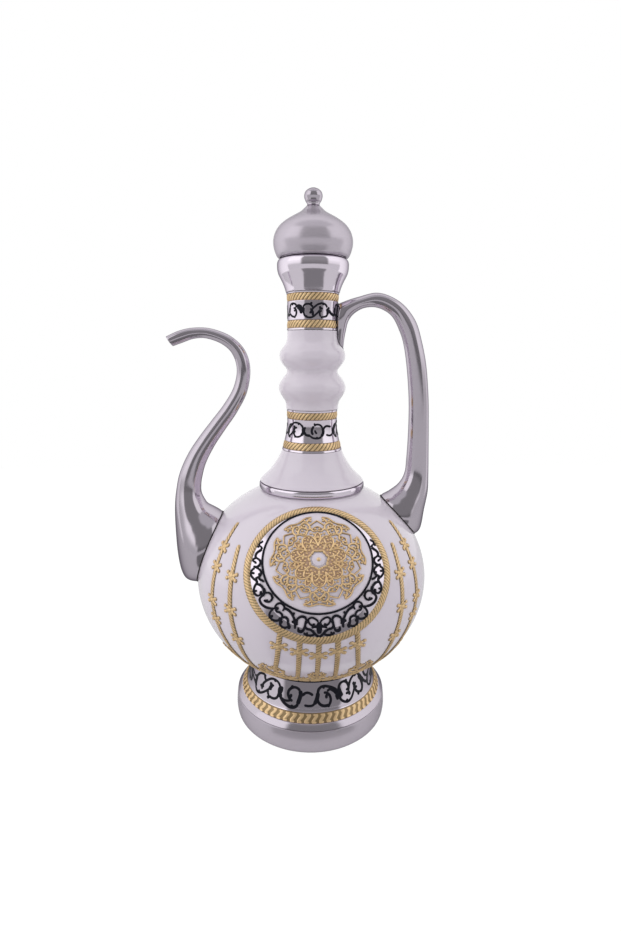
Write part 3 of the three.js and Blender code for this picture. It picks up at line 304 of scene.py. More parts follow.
def half_turn(points, back):
    """The same place on the back of the ewer."""
    return points * np.array([-1, -1, 1]) if back else points


# The medallion's own plane: u to the right, v up, seen along an axis that leans up out of the globe
MEDALLION_LEAN = math.radians(27.9)
MEDALLION_DROP = 9.1


def medallion_chart(back):
    """A chart over the front or the back medallion, in its own plane."""
    lean_sin, lean_cos = math.sin(MEDALLION_LEAN), math.cos(MEDALLION_LEAN)

    def chart(u, v, lift):
        u, v = np.broadcast_arrays(np.asarray(u, float), np.asarray(v, float))
        start = np.stack([u, v * lean_sin, v * lean_cos - MEDALLION_DROP], axis=-1)
        return half_turn(shoot(start, np.array([0, -lean_cos, lean_sin]), lift), back)

    return chart


def on_band(band):
    """A chart over a turned band: u is an angle in degrees from the front, v a height."""
    line = spline(band, 6)

    def chart(u, v, lift):
        u, v = np.broadcast_arrays(np.radians(np.asarray(u, float)), np.asarray(v, float))
        r = np.interp(v, line[:, 1], line[:, 0]) + lift
        return np.stack([r * np.sin(u), -r * np.cos(u), v], axis=-1)

    return chart


def oval(wide, tall, count, rise=0.0):
    """Points round an ellipse of these half sizes."""
    turn = np.linspace(0, 2 * math.pi, count, endpoint=False)
    return np.stack([wide * np.cos(turn), tall * np.sin(turn) + rise], axis=-1)


# Finishes


def node(tree, kind, links=None, **settings):
    """A node with its settings, values and links. links maps a socket to a value or to another socket."""
    made = tree.nodes.new(kind)
    for key, value in settings.items():
        setattr(made, key, value)
    for socket, value in (links or {}).items():
        if isinstance(value, bpy.types.NodeSocket):
            tree.links.new(value, made.inputs[socket])
        else:
            made.inputs[socket].default_value = value
    return made


def maths(tree, operation, *values, clamp=False):
    """One step of arithmetic on numbers or sockets."""
    links = dict(enumerate(values))
    return node(tree, "ShaderNodeMath", links, operation=operation, use_clamp=clamp).outputs[0]


def map_range(tree, value, start, stop, low=0.0, high=1.0, kind="LINEAR"):
    """Turns a value between start and stop into one between low and high."""
    links = {"Value": value, "From Min": start, "From Max": stop, "To Min": low, "To Max": high}
    return node(tree, "ShaderNodeMapRange", links, interpolation_type=kind).outputs[0]


def noise(tree, scale, detail, roughness=0.5):
    """A cloudy pattern that is fixed to the piece. scale counts clouds in a metre."""
    place = node(tree, "ShaderNodeTexCoord").outputs["Object"]
    links = {"Vector": place, "Scale": scale, "Detail": detail, "Roughness": roughness}
    return node(tree, "ShaderNodeTexNoise", links).outputs["Fac"]


def colour_mix(tree, factor, low, high):
    """A colour between two, by a factor that changes over the surface."""
    mixed = node(tree, "ShaderNodeMix", {"Factor": factor}, data_type="RGBA")
    sockets = [s for s in mixed.inputs if s.type == "RGBA"]
    for socket, value in zip(sockets, (low, high)):
        if isinstance(value, bpy.types.NodeSocket):
            tree.links.new(value, socket)
        else:
            socket.default_value = (*value[:3], 1)
    return [s for s in mixed.outputs if s.type == "RGBA"][0]


def effect_group(name, inputs, outputs):
    """An empty node group with named sockets, its input node and its output node."""
    group = bpy.data.node_groups.new(name, "ShaderNodeTree")
    for direction, sockets in (("INPUT", inputs), ("OUTPUT", outputs)):
        for label, kind, value in sockets:
            made = group.interface.new_socket(label, in_out=direction, socket_type="NodeSocket" + kind)
            if value is not None:
                made.default_value = value
    return group, group.nodes.new("NodeGroupInput"), group.nodes.new("NodeGroupOutput")


def handling_group():
    """Smudges and faint scratches from handling and wiping, as a change of roughness and a fine height."""
    if "handling" in bpy.data.node_groups:
        return bpy.data.node_groups["handling"]
    group, given, put_out = effect_group(
        "handling",
        [("Roughness", "Float", 0.1), ("Smudge", "Float", 0.05), ("Scale", "Float", 60.0)],
        [("Roughness", "Float", None), ("Height", "Float", None)],
    )
    smudge = noise(group, given.outputs["Scale"], detail=6.0, roughness=0.62)
    patch = map_range(group, smudge, start=0.42, stop=0.72)
    added = maths(group, "MULTIPLY_ADD", patch, given.outputs["Smudge"], given.outputs["Roughness"])
    place = node(group, "ShaderNodeTexCoord").outputs["Object"]
    stretched = node(group, "ShaderNodeMapping", {"Vector": place, "Scale": (900.0, 900.0, 60.0)})
    streaks = {"Vector": stretched.outputs[0], "Scale": 1.0, "Detail": 2.0}
    scratch = node(group, "ShaderNodeTexNoise", streaks)
    group.links.new(added, put_out.inputs["Roughness"])
    group.links.new(scratch.outputs["Fac"], put_out.inputs["Height"])
    return group


def hollow_shade_group():
    """Painted shade: darkens the hollows of relief, with a random mottle. The depth attribute is 0 in a
    hollow and 1 on a high place.
    """
    if "hollow_shade" in bpy.data.node_groups:
        return bpy.data.node_groups["hollow_shade"]
    inputs = [("High", "Color", (1, 1, 1, 1)), ("Low", "Color", (0, 0, 0, 1))]
    inputs += [("Reach", "Float", 0.5), ("Mottle", "Float", 0.6)]
    group, given, put_out = effect_group("hollow_shade", inputs, [("Color", "Color", None)])
    depth = node(group, "ShaderNodeAttribute", attribute_name="depth").outputs["Fac"]
    mask = map_range(group, depth, 0.0, given.outputs["Reach"], kind="SMOOTHSTEP")
    mottle = maths(group, "SUBTRACT", noise(group, scale=420.0, detail=4.0), 0.5)
    varied = maths(group, "MULTIPLY_ADD", mottle, given.outputs["Mottle"], mask, clamp=True)
    mixed = colour_mix(group, varied, given.outputs["Low"], given.outputs["High"])
    group.links.new(mixed, put_out.inputs["Color"])
    return group


def cloud_group():
    """A colour that drifts between two over the surface, and the pattern of that drift as a height."""
    if "cloud" in bpy.data.node_groups:
        return bpy.data.node_groups["cloud"]
    inputs = [("Low", "Color", (0, 0, 0, 1)), ("High", "Color", (1, 1, 1, 1))]
    inputs += [("Scale", "Float", 18.0), ("Detail", "Float", 3.0), ("Roughness", "Float", 0.5)]
    outputs = [("Color", "Color", None), ("Height", "Float", None)]
    group, given, put_out = effect_group("cloud", inputs, outputs)
    drift = noise(group, *[given.outputs[name] for name in ("Scale", "Detail", "Roughness")])
    mixed = colour_mix(group, drift, given.outputs["Low"], given.outputs["High"])
    group.links.new(mixed, put_out.inputs["Color"])
    group.links.new(drift, put_out.inputs["Height"])
    return group


def shade(colour, share):
    """A colour made darker or lighter, by one share or by one each for red, green and blue."""
    return tuple(np.minimum(1.0, np.array(colour) * share))


def material(name):
    """A new material, its node tree and its Principled shader."""
    made = bpy.data.materials.new(name)
    made.use_nodes = True
    return made, made.node_tree, made.node_tree.nodes["Principled BSDF"]


def bumped(tree, shader, height, strength, distance):
    """Puts a fine height on a shader's normal. The distance is in metres."""
    relief = node(tree, "ShaderNodeBump", {"Height": height, "Strength": strength, "Distance": distance})
    tree.links.new(relief.outputs[0], shader.inputs["Normal"])


def worn(tree, shader, roughness, smudge, scale, bump=0.0):
    """Puts the handling effect on a shader's roughness, and on its normal where there is a bump."""
    values = {"Roughness": roughness, "Smudge": smudge, "Scale": scale}
    effect = node(tree, "ShaderNodeGroup", values, node_tree=handling_group())
    tree.links.new(effect.outputs["Roughness"], shader.inputs["Roughness"])
    if bump:
        bumped(tree, shader, effect.outputs["Height"], strength=bump, distance=0.0001)


def clouded(tree, shader, low, high, scale=18.0, detail=3.0, roughness=0.5):
    """Puts the cloud effect on a shader's colour, and gives its height."""
    values = {"Low": (*low, 1), "High": (*high, 1)}
    values |= {"Scale": scale, "Detail": detail, "Roughness": roughness}
    effect = node(tree, "ShaderNodeGroup", values, node_tree=cloud_group())
    tree.links.new(effect.outputs["Color"], shader.inputs["Base Color"])
    return effect.outputs["Height"]


# The tint of metal where it is seen almost edge on: a dark grey, painted shade that darkens the metal
# towards its outlines
METAL_EDGE_SHADE = (0.26, 0.25, 0.27, 1)


def metal(name, colour, roughness, smudge=0.05, scale=45.0, bump=0.03, low=None, share=1.0):
    """A metal with smudges and faint scratches. With a low colour, the hollows of its relief are painted
    darker, as shade.
    A share below 1 lets its grain scatter the rest of the light."""
    if name in bpy.data.materials:
        return bpy.data.materials[name]
    made, tree, shader = material(name)
    shader.inputs["Metallic"].default_value = share
    shader.inputs["Specular Tint"].default_value = METAL_EDGE_SHADE
    worn(tree, shader, roughness, smudge, scale, bump)
    if low is None:
        clouded(tree, shader, shade(colour, 0.95), shade(colour, 1.04))
    else:
        values = {"High": (*colour, 1), "Low": (*low, 1), "Reach": 0.75}
        effect = node(tree, "ShaderNodeGroup", values, node_tree=hollow_shade_group())
        tree.links.new(effect.outputs["Color"], shader.inputs["Base Color"])
    return made


def chrome():
    return metal("bright_chrome", colours().chrome, roughness=0.1)


# A darker copy of the chrome: painted shade that makes the spout, the handle, the finial and the foot's
# shoulder dimmer than the rest of the chrome
def cast_chrome():
    return metal("cast_chrome", shade(colours().chrome, 0.68), roughness=0.11, smudge=0.06)


def satin():
    tint = shade(colours().chrome, 0.7)
    return metal("satin_silver", tint, roughness=0.22, smudge=0.06, scale=30.0, bump=0.06, share=0.6)


def gold():
    # The low colour paints shade into the hollows of the gold relief
    low = shade(colours().gold, 0.22)
    return metal("pale_gold", colours().gold, roughness=0.3, smudge=0.1, bump=0.1, low=low, share=0.7)


def dark_gold():
    return metal("gold_ground", shade(colours().gold, 0.5), roughness=0.45, smudge=0.1)


def gold_wash():
    """The gold ground behind the rosette's lines: thin, pinkish and rough."""
    return metal("gold_wash", (0.56, 0.37, 0.27), roughness=0.5, smudge=0.1, share=0.25)


def plain_steel():
    return metal("zinc_steel", (0.5, 0.51, 0.53), roughness=0.35, smudge=0.1)


def glaze():
    """Pearl white glaze: a smooth rippled coat over a body with a faint cloudy tint."""
    if "pearl_glaze" in bpy.data.materials:
        return bpy.data.materials["pearl_glaze"]
    made, tree, shader = material("pearl_glaze")
    low = shade(colours().glaze, (0.97, 0.96, 1.0))
    high = shade(colours().glaze, (1.02, 1.02, 1.0))
    clouded(tree, shader, low, high, scale=14.0, detail=4.0)
    worn(tree, shader, roughness=0.16, smudge=0.06, scale=25.0)
    bumped(tree, shader, noise(tree, scale=90.0, detail=1.0), strength=0.04, distance=0.0002)
    shader.inputs["Coat Weight"].default_value = 0.6
    shader.inputs["Coat Roughness"].default_value = 0.05
    return made


def enamel():
    """Black enamel: glossy, with a faint mottle."""
    if "scroll_enamel" in bpy.data.materials:
        return bpy.data.materials["scroll_enamel"]
    made, tree, shader = material("scroll_enamel")
    clouded(tree, shader, colours().enamel, shade(colours().enamel, 2.2), scale=300.0)
    worn(tree, shader, roughness=0.35, smudge=0.15, scale=120.0, bump=0.05)
    shader.inputs["Specular IOR Level"].default_value = 0.08
    return made


def soft_matte(name, colour, roughness, grain, relief):
    """Rubber, silicone or felt: matte, with a fine grain."""
    if name in bpy.data.materials:
        return bpy.data.materials[name]
    made, tree, shader = material(name)
    low, high = shade(colour, 0.7), shade(colour, 1.3)
    height = clouded(tree, shader, low, high, scale=grain, detail=6.0, roughness=0.7)
    bumped(tree, shader, height, strength=relief, distance=0.0004)
    shader.inputs["Roughness"].default_value = roughness
    return made


def rubber():
    return soft_matte("dark_rubber", (0.035, 0.028, 0.03), roughness=0.7, grain=500.0, relief=0.2)


def silicone():
    return soft_matte("pale_silicone", (0.6, 0.58, 0.56), roughness=0.5, grain=400.0, relief=0.1)


def felt():
    return soft_matte("grey_felt", (0.045, 0.05, 0.055), roughness=0.95, grain=1500.0, relief=0.7)


# Strokes, ropes and plates

# A stroke's section: how far across, and how high as a share of its relief
FLAT_STROKE = [(-1, -1.0), (-1, 0.75), (-0.8, 1.0), (0.8, 1.0), (1, 0.75), (1, -1.0)]
ROUND_STROKE = [(-1, -0.6), (-0.95, 0.3), (-0.6, 0.8), (0, 1.0), (0.6, 0.8), (0.95, 0.3), (1, -0.6)]
ROPE_STROKE = [(-1, -0.6), (-0.97, 0.2), (-0.8, 0.62), (-0.5, 0.88), (-0.17, 1.0)]
ROPE_STROKE += [(-across, rise) for across, rise in reversed(ROPE_STROKE)]
# Places along a stroke for each turn of its twist
TWIST_STEPS = 7
# A berry's rings: how far out, how high as a share of its height, and its depth for the painted shade round
# its foot
BERRY_RINGS = [(1.0, -0.5, 0), (0.95, 0.35, 0.3), (0.6, 0.85, 0.8), (0.05, 1.0, 1.0)]
BERRY_SIDES = 10
SCROLL_REPEATS = 3
# A rope's section: the share of the way across, and the height
ROPE_SECTION = [(0.0, -0.4), (0.0, 0.15), (0.08, 0.45), (0.22, 0.75), (0.38, 0.92), (0.5, 0.97)]
ROPE_SECTION += [(0.62, 0.92), (0.78, 0.75), (0.92, 0.45), (1.0, 0.15), (1.0, -0.4)]


def stations(line, width, step):
    """Points, half-widths and sideways directions along a stroke with round ends."""
    steps = np.linalg.norm(np.diff(line, axis=0), axis=1)
    along = np.concatenate([[0], np.cumsum(steps)])
    length = along[-1]
    nib = min(width / 2, 0.45 * length)
    ends = nib * (1 - np.cos(np.linspace(0, math.pi / 2, 4)))
    inner = np.linspace(nib, length - nib, max(2, math.ceil(length / step)))
    at = np.concatenate([ends, inner[1:-1], length - ends[::-1]])
    points = np.stack([np.interp(at, along, line[:, k]) for k in range(2)], axis=1)
    reach = np.minimum(at, length - at)
    half = width / 2 * np.sqrt(np.clip(1 - ((nib - np.minimum(reach, nib)) / nib) ** 2, 0.02, 1))
    way = np.gradient(points, at, axis=0)
    way /= np.linalg.norm(way, axis=1, keepdims=True)
    return points, half, np.stack([-way[:, 1], way[:, 0]], axis=1)


def twist(turn, height):
    """The lift and the depth of twisted strands at a number of strands along a rope. The depth paints shade
    between the strands.
    """
    crest = np.abs(np.sin(math.pi * turn))
    return height * (crest**0.7 - 0.5), crest**1.3


class Strokes:
    """Gathers strokes and berries on one chart into one piece. A chart turns (u, v, lift) into places.
    Where its u is an angle in degrees, radius is what turns that into millimetres."""

    def __init__(self, chart, relief, lift=0.0, section=FLAT_STROKE, radius=None):
        self.chart = chart
        self.relief = relief
        self.lift = lift
        self.section = section
        self.stretch = math.radians(radius) if radius else 1.0
        self.points = []
        self.faces = []
        self.depth = []
        self.count = 0

    def add(self, line, width, steps=6, pitch=0.0):
        """One stroke. steps is how fine its curve is, and a pitch twists it like a rope."""
        line = np.asarray(line, float) * [self.stretch, 1]
        step = pitch / TWIST_STEPS if pitch else 0.6 * width
        points, half, across = stations(spline(line, steps), width, step)
        share, height = np.array(self.section).T
        flat = points[:, None, :] + across[:, None, :] * (half[:, None] * share)[..., None]
        taper = (half / half.max())[:, None] ** 0.5
        tall = self.lift + self.relief * height[None, :] * np.where(height > 0, taper, 1)
        # A stroke's depth is low at its foot and, on a twisted one, between strands: gold paints shade
        # there
        depth = np.tile(np.clip(height, 0, 1), (len(points), 1))
        if pitch:
            strand = np.arange(len(points))[:, None] / TWIST_STEPS + share[None, :] * width / pitch / 2
            wave, crest = twist(strand, 0.5 * self.relief)
            tall = np.where(np.abs(share) < 1, tall + wave, tall)
            depth = np.where(height > 0.5, crest, depth * crest)
        made = self.chart(flat[..., 0] / self.stretch, flat[..., 1], tall)
        self.keep(made, depth)

    def bead(self, place, radius, height):
        """A round berry."""
        turn = np.linspace(0, 2 * math.pi, BERRY_SIDES, endpoint=False)
        rows = []
        for share, high, _ in BERRY_RINGS:
            u = (place[0] * self.stretch + radius * share * np.cos(turn)) / self.stretch
            v = place[1] + radius * share * np.sin(turn)
            rows.append(self.chart(u, v, np.full(BERRY_SIDES, self.lift + height * high)))
        self.keep(np.array(rows), np.repeat([depth for _, _, depth in BERRY_RINGS], BERRY_SIDES))

    def keep(self, rings, depth):
        """Adds a closed tube over rings of points."""
        self.points.append(rings.reshape(-1, 3))
        self.faces += [self.count + face for face in tube_faces(*rings.shape[:2])]
        self.depth.append(depth.ravel())
        self.count += rings.shape[0] * rings.shape[1]

    def finish(self, name, finish, slot, **rest):
        """Makes one piece of all that was gathered."""
        points, depth = np.concatenate(self.points), np.concatenate(self.depth)
        add_piece(name, points, self.faces, finish, slot, sharp=40.0, depth=depth, **rest)


def draw_round(strokes, lines, count, weight=1.0):
    """Draws lines of (width, [(degrees, height)]) count times round the ewer, every width times weight."""
    for turn in range(count):
        for width, line in lines:
            strokes.add([(u + 360 / count * turn, v) for u, v in line], width * weight)


def scroll(name, band, lines, radius, weight):
    """Enamel scrollwork on a turned band. Its visible third is drawn three times round."""
    strokes = Strokes(on_band(band), sizes().engraving, radius=radius)
    draw_round(strokes, lines, SCROLL_REPEATS, weight)
    strokes.finish(name, enamel(), "black_enamel")


def ring_band(name, chart, first, second, section, finish, slot, wave=None, **rest):
    """A raised ring between two closed edge lines of a chart. section holds (share across, lift) points.
    first and second give the edges' (u, v) at each column; wave adds (lift, depth) by column and share."""
    columns = len(first[0])
    rows, depth = [], []
    for share, lift in section:
        u = first[0] * (1 - share) + second[0] * share
        v = first[1] * (1 - share) + second[1] * share
        add, low = 0, 1.0
        if wave:
            # A wave's depth paints shade between strands, and 0.3 paints a gold ring darker where it meets
            # its ground
            add, low = wave(np.arange(columns), share) if 0 < share < 1 else (0, 0.3)
        rows.append(chart(u, v, lift + add + 0 * u))
        depth.append(low + 0 * u)
    faces = grid_faces(len(section), columns, close_rows=True)
    add_piece(name, np.concatenate(rows), faces, finish, slot, depth=np.concatenate(depth), **rest)


def rope(name, chart, first, second, strands, slant, height, thickness, lift, stands_for):
    """A twisted gold rope between two edge lines."""
    columns = len(first[0])

    def wave(column, share):
        return twist(column / columns * strands + slant * share, height)

    section = [(share, rise * thickness + lift) for share, rise in ROPE_SECTION]
    ring_band(name, chart, first, second, section, gold(), "gold", wave, stands_for=stands_for, sharp=60)


def oval_plate(name, chart, edge, rows, finish, slot, stands_for):
    """A plate inside an oval edge. rows are (share of the way out, lift)."""
    centre = edge.mean(axis=0)
    rings = [chart(*(centre + (edge - centre) * share).T, np.full(len(edge), lift)) for share, lift in rows]
    skin(name, np.array(rings), finish, slot, stands_for=stands_for)


def report_done(operator, words):
    """Says what an operator has made, and ends it."""
    operator.report({"INFO"}, words)
    return {"FINISHED"}


# Foot


class EWER_OT_foot(Operator):
    """Builds the foot's ring and shoulder, the waisted flare and the dark seam under the globe"""

    bl_idname = "ewer.foot"
    bl_label = "Foot"

    def execute(self, context):
        self.wall()
        self.shoulder()
        self.flare()
        self.seam()
        return report_done(self, "Foot built")

    def wall(self):
        wall = [(53.6, 4.3), (53.6, 0.6), (55.8, 0.6, 0.8)]
        wall += smooth([(57.4, 1.3), (59.5, 3.9), (60.3, 8.3), (60.25, 13), (59.85, 17.4), (59.6, 19.3)])
        wall += [(59.4, 19.75, 0.15), (58.2, 19.8), (56.0, 19.8), (56.0, 6.2), (43.0, 6.2), (43.0, 4.3)]
        turned("foot_wall", rounded(wall, 0.3), satin(), "satin_metal", stands_for=["foot_ring"])

    def shoulder(self):
        shoulder = [(52.2, 19.9), (58.8, 19.9, 0.1), (59.2, 20.1, 0.15)]
        shoulder += smooth([(59.35, 20.4), (58.9, 21.0), (57.4, 22.75), (56.2, 24.0)], steps=5)
        shoulder += [(55.6, 24.3, 0.3), (55.0, 23.3), (52.2, 22.6)]
        shoulder = rounded(shoulder, 0.2)
        turned("foot_shoulder", shoulder, cast_chrome(), "satin_metal", stands_for=["foot_ring"])

    def flare(self):
        """The flare, with the saucer that closes it on top."""
        flare = [(51.0, 22.9), (55.6, 23.4), (52.2, 29.9)]
        flare += smooth([(51.8, 30.6), *FOOT_FLARE[1:]], steps=6)
        flare += [(49.8, 54.5, 0.3), (48.4, 54.3, 0.3), (47.8, 51.6), (20, 43.4), (4.6, 42.4), (4.6, 40.2)]
        flare += [(20, 41.2), (45.6, 49.0), (47.6, 41.7), (49.0, 30.0)]
        turned("foot_flare_skin", rounded(flare, 0.3), chrome(), "chrome", stands_for=["foot_flare"])

    def seam(self):
        seam = [(48.6, 53.9), (50.5, 53.9, 0.3), (50.7, 55.6, 0.3), (48.6, 55.2)]
        turned("seat_seam", rounded(seam, 0.1), enamel(), "rubber")


# Globe and neck


class EWER_OT_globe(Operator):
    """Builds the hollow pearl white globe"""

    bl_idname = "ewer.globe"
    bl_label = "Globe"

    def execute(self, context):
        floor, crown = -math.acos(FLOOR_HOLE_R / GLOBE_R), math.acos(CROWN_HOLE_R / GLOBE_R)
        turn = np.linspace(floor, crown, GLOBE_ROWS)
        span = np.where(turn < 0, GLOBE_DOWN, GLOBE_UP)
        arc = np.stack([GLOBE_R * np.cos(turn), 0 * turn, span * np.sin(turn)], axis=-1)
        outside = lifted(arc, 0.0)[:, [0, 2]]
        inside = lifted(arc, -GLOBE_WALL)[::-1, [0, 2]]
        outline = np.vstack([outside, inside])
        held = ["globe_shell"]
        turned("globe_skin", outline, glaze(), "white_glaze", facets=GLOBE_FACETS, stands_for=held)
        return report_done(self, "Globe built")


class EWER_OT_neck(Operator):
    """Builds the rim, the skirt, the white neck with its bulbs, the bands' ground and the mouth collar"""

    bl_idname = "ewer.neck"
    bl_label = "Neck"

    def execute(self, context):
        self.rim()
        self.skirt()
        self.band_grounds()
        self.bulbs()
        self.collar()
        self.liner()
        return report_done(self, "Neck built")

    def rim(self):
        rim = [(30.0, 192.6), (38.6, 189.4)]
        rim += smooth([(39.3, 189.3), (39.7, 190.2), (39.75, 191.6), (39.6, 193.0), (39.1, 193.9)], steps=5)
        rim += [(38.0, 194.0), (30.0, 194.0)]
        turned("rim_bead", rounded(rim, 0.2), chrome(), "chrome", stands_for=["shoulder_rim"])

    def skirt(self):
        curve = [(39.1, 194.9), (37.8, 196.4), (35.2, 198.8), (30.6, 203.6), (27.3, 208.3), (24.5, 213.1)]
        skirt = [(NECK_BORE_R, 218.2), (NECK_BORE_R, 210.0), (30.0, 194.3), (38.6, 194.3, 0.3)]
        skirt += smooth([*curve, (22.4, 218.2)])
        turned("skirt_skin", rounded(skirt, 0.2), glaze(), "white_glaze", stands_for=["shoulder_skirt"])

    def band_grounds(self):
        for name, band, ropes in BANDS:
            outline = rounded(band_outline(band, ropes), 0)
            turned(f"{name}_ground", outline, chrome(), "chrome", stands_for=[name])

    def bulbs(self):
        bulbs = [(NECK_BORE_R, 304.5), (NECK_BORE_R, 248.4), (19.2, 248.4, 0.3)]
        bulbs += smooth(NECK_BULBS, steps=6)
        bulbs += [(18.2, 304.5, 0.2)]
        turned("neck_bulbs_skin", rounded(bulbs, 0.3), glaze(), "white_glaze", stands_for=["neck_bulbs"])

    def collar(self):
        curve = [(19.3, 331.2), (20.1, 333.8), (21.3, 336.8), (23.0, 340.2), (24.4, 342.9), (25.2, 345.8)]
        curve += [(25.4, 348.6), (25.3, 350.6), (24.7, 352.1), (23.7, 353.0)]
        collar = [(15.6, 330.6), (19.0, 330.6, 0.3), *smooth(curve)]
        collar += [(22.9, 353.3, 0.3), (19.0, 353.3, 0.8), (19.0, 337.9), (15.6, 337.9)]
        turned("mouth_collar_skin", rounded(collar, 0.3), chrome(), "chrome", stands_for=["mouth_collar"])

    def liner(self):
        liner = rounded([(13.8, 176.8), (15.2, 176.8), (15.2, 337.6), (13.8, 337.6)], 0.3)
        turned("liner_tube", liner, plain_steel(), "steel", facets=96, stands_for=["neck_liner"])


def band_outline(band, ropes, groove=1.2):
    """A band's section, with a groove under each rope."""
    line = spline(band, 6)
    out = [(NECK_BORE_R, band[-1][1]), (NECK_BORE_R, band[0][1])]
    previous = -math.inf
    for low, high in [*ropes, (math.inf, math.inf)]:
        out += [(r, z, 0) for r, z in line if previous < z < low]
        if low < math.inf:
            for z, drop in ((low, 0), (low, groove), (high, groove), (high, 0)):
                out.append((np.interp(z, line[:, 1], line[:, 0]) - drop, z, 0.1))
        previous = high
    return out


# Lid


class EWER_OT_lid(Operator):
    """Builds the lid's dome, its finial, its plug and the seal ring"""

    bl_idname = "ewer.lid"
    bl_label = "Lid"

    def execute(self, context):
        self.dome()
        self.finial()
        self.plug()
        self.seal()
        return report_done(self, "Lid built")

    def dome(self):
        curve = [(24.5, 354.2), (25.3, 354.9), (26.0, 356.1), (27.0, 358.6), (27.7, 361.4), (27.95, 363.9)]
        curve += [(27.75, 366.6), (26.9, 369.6), (25.4, 372.5), (23.2, 375.2), (20.0, 377.8), (16.4, 380.1)]
        curve += [(12.6, 382.2), (9.1, 384.3), (7.1, 386.0), (5.6, 387.4)]
        dome = [(23.4, 355.9), (23.1, 353.95, 0.2), (23.9, 353.95), *smooth(curve, steps=7)]
        dome += [(2.3, 387.4), (2.3, 384.0), (8.0, 382.4), (15.0, 378.0), (21.0, 373.6), (24.8, 368.0)]
        dome += [(25.6, 362.0), (24.6, 357.6), (20.6, 357.6), (20.6, 355.9)]
        dome = rounded(dome, 0.2)
        turned("lid_dome_skin", dome, satin(), "satin_metal", body="lid", stands_for=["lid_dome"])

    def finial(self):
        """The ball on its short neck, with the stud under it."""
        curve = [(5.3, 387.6), (4.5, 388.5), (4.3, 389.3), (4.7, 390.3), (5.4, 391.3), (6.0, 392.7)]
        curve += [(6.35, 394.3), (6.2, 395.9), (5.5, 397.4), (4.2, 398.6), (2.4, 399.5), (0.8, 399.95)]
        finial = [(0, 337.4), (2.0, 337.4), (2.0, 387.2), (5.7, 387.2)]
        finial += [*smooth(curve, steps=6), (0, 400.02, 0)]
        finial = rounded(finial, 0.15, closed=False)
        turned("finial_ball", finial, cast_chrome(), "chrome", body="lid", stands_for=["lid_finial"])

    def plug(self):
        plug = [(2.3, 341.7), (18.3, 341.7, 0.7), (18.3, 344.3), (16.9, 344.3), (16.9, 348.0)]
        plug += [(18.3, 348.0), (18.3, 353.7), (22.6, 353.7), (22.6, 355.7), (15.3, 355.7)]
        plug += [(15.3, 343.5), (2.3, 343.5)]
        plug = rounded(plug, 0.3)
        turned("lid_plug_skin", plug, chrome(), "chrome", body="lid", stands_for=["lid_plug"])

    def seal(self):
        seal = rounded([(17.2, 344.7), (18.2, 344.7), (18.7, 346.2), (18.2, 347.7), (17.2, 347.7)], 0.5)
        turned("seal_lip", seal, silicone(), "silicone", body="lid_seal", stands_for=["lid_seal_ring"])


# Spout and handle

# Rows of (x, z, x, z, half-depth): a point on one edge, one on the other edge, in the XZ plane
SPOUT = [
    (-83.2, 114.0, -64.2, 164.0, 24.0),
    (-95.2, 116.0, -69.6, 169.5, 26.0),
    (-100.5, 123.0, -74.4, 172.8, 24.0),
    (-103.2, 138.0, -79.2, 175.6, 20.0),
    (-104.2, 158.0, -81.2, 178.4, 15.5),
    (-104.1, 174.0, -83.7, 184.2, 12.0),
    (-102.6, 187.0, -83.9, 190.0, 9.6),
    (-99.4, 200.5, -82.8, 197.0, 8.4),
    (-92.4, 215.2, -79.5, 208.0, 7.3),
    (-83.8, 227.8, -72.6, 221.0, 6.6),
    (-74.4, 239.8, -64.2, 233.4, 6.0),
    (-65.2, 251.5, -55.6, 245.7, 5.6),
    (-57.8, 264.0, -48.0, 260.4, 5.2),
    (-55.1, 277.0, -45.3, 277.0, 4.9),
    (-58.2, 288.0, -48.9, 290.6, 4.7),
    (-65.6, 294.9, -58.8, 300.4, 4.35),
    (-76.5, 298.7, -73.0, 305.7, 3.95),
    (-85.5, 298.3, -85.9, 306.1, 3.9),
    (-93.3, 295.6, -96.1, 303.8, 4.1),
    (-100.0, 293.2, -104.6, 300.0, 4.15),
]
HANDLE = [
    (22.5, 291.0, 17.5, 291.8, 1.4),
    (22.7, 294.4, 15.5, 295.0, 3.8),
    (23.2, 299.4, 14.5, 300.6, 6.2),
    (24.3, 305.4, 14.0, 307.6, 8.0),
    (25.7, 311.0, 14.0, 315.4, 8.8),
    (28.5, 315.4, 16.0, 321.8, 8.4),
    (32.6, 318.7, 23.0, 325.4, 7.4),
    (37.7, 320.9, 33.0, 328.6, 6.3),
    (44.5, 321.5, 45.5, 331.5, 5.5),
    (51.5, 319.5, 56.5, 329.0, 5.5),
    (58.0, 314.9, 66.8, 322.5, 5.9),
    (63.0, 306.4, 75.2, 311.9, 6.5),
    (67.0, 295.9, 80.0, 298.9, 6.8),
    (70.2, 278.9, 84.5, 280.4, 7.1),
    (72.7, 255.9, 87.4, 256.7, 7.3),
    (73.4, 234.0, 88.7, 234.4, 7.6),
    (73.0, 212.0, 89.7, 212.0, 8.1),
    (71.9, 198.5, 90.3, 197.0, 9.0),
    (67.5, 190.0, 90.3, 184.5, 11.5),
    (60.5, 184.2, 88.0, 171.0, 15.3),
    (54.8, 180.9, 85.0, 154.5, 18.5),
    (49.2, 174.0, 77.2, 149.0, 18.0),
]
TUBE_SIDES = 64
# How far the feet stand off the globe, for the gasket between them
SEAT_GAP = 0.9
# The spout's lip as the share of its last ring and the distance past it, and its bore as rings counted back
LIP_RINGS = ((0.97, 0.25), (0.86, 0.3), (0.76, 0.1))
BORE_RINGS = (2, 10, 22)
BORE_SHARE = 0.72


def sections(rows):
    """Rings of points round a tube that is given by its two edges and its half-depth."""
    line = spline(rows)
    middle = (line[:, 0:2] + line[:, 2:4]) / 2
    half = (line[:, 2:4] - line[:, 0:2]) / 2
    turn = np.linspace(0, 2 * math.pi, TUBE_SIDES, endpoint=False)
    flat = middle[:, None, :] + half[:, None, :] * np.cos(turn)[None, :, None]
    deep = line[:, 4:5] * np.sin(turn)[None, :]
    return np.stack([flat[..., 0], deep, flat[..., 1]], axis=-1)


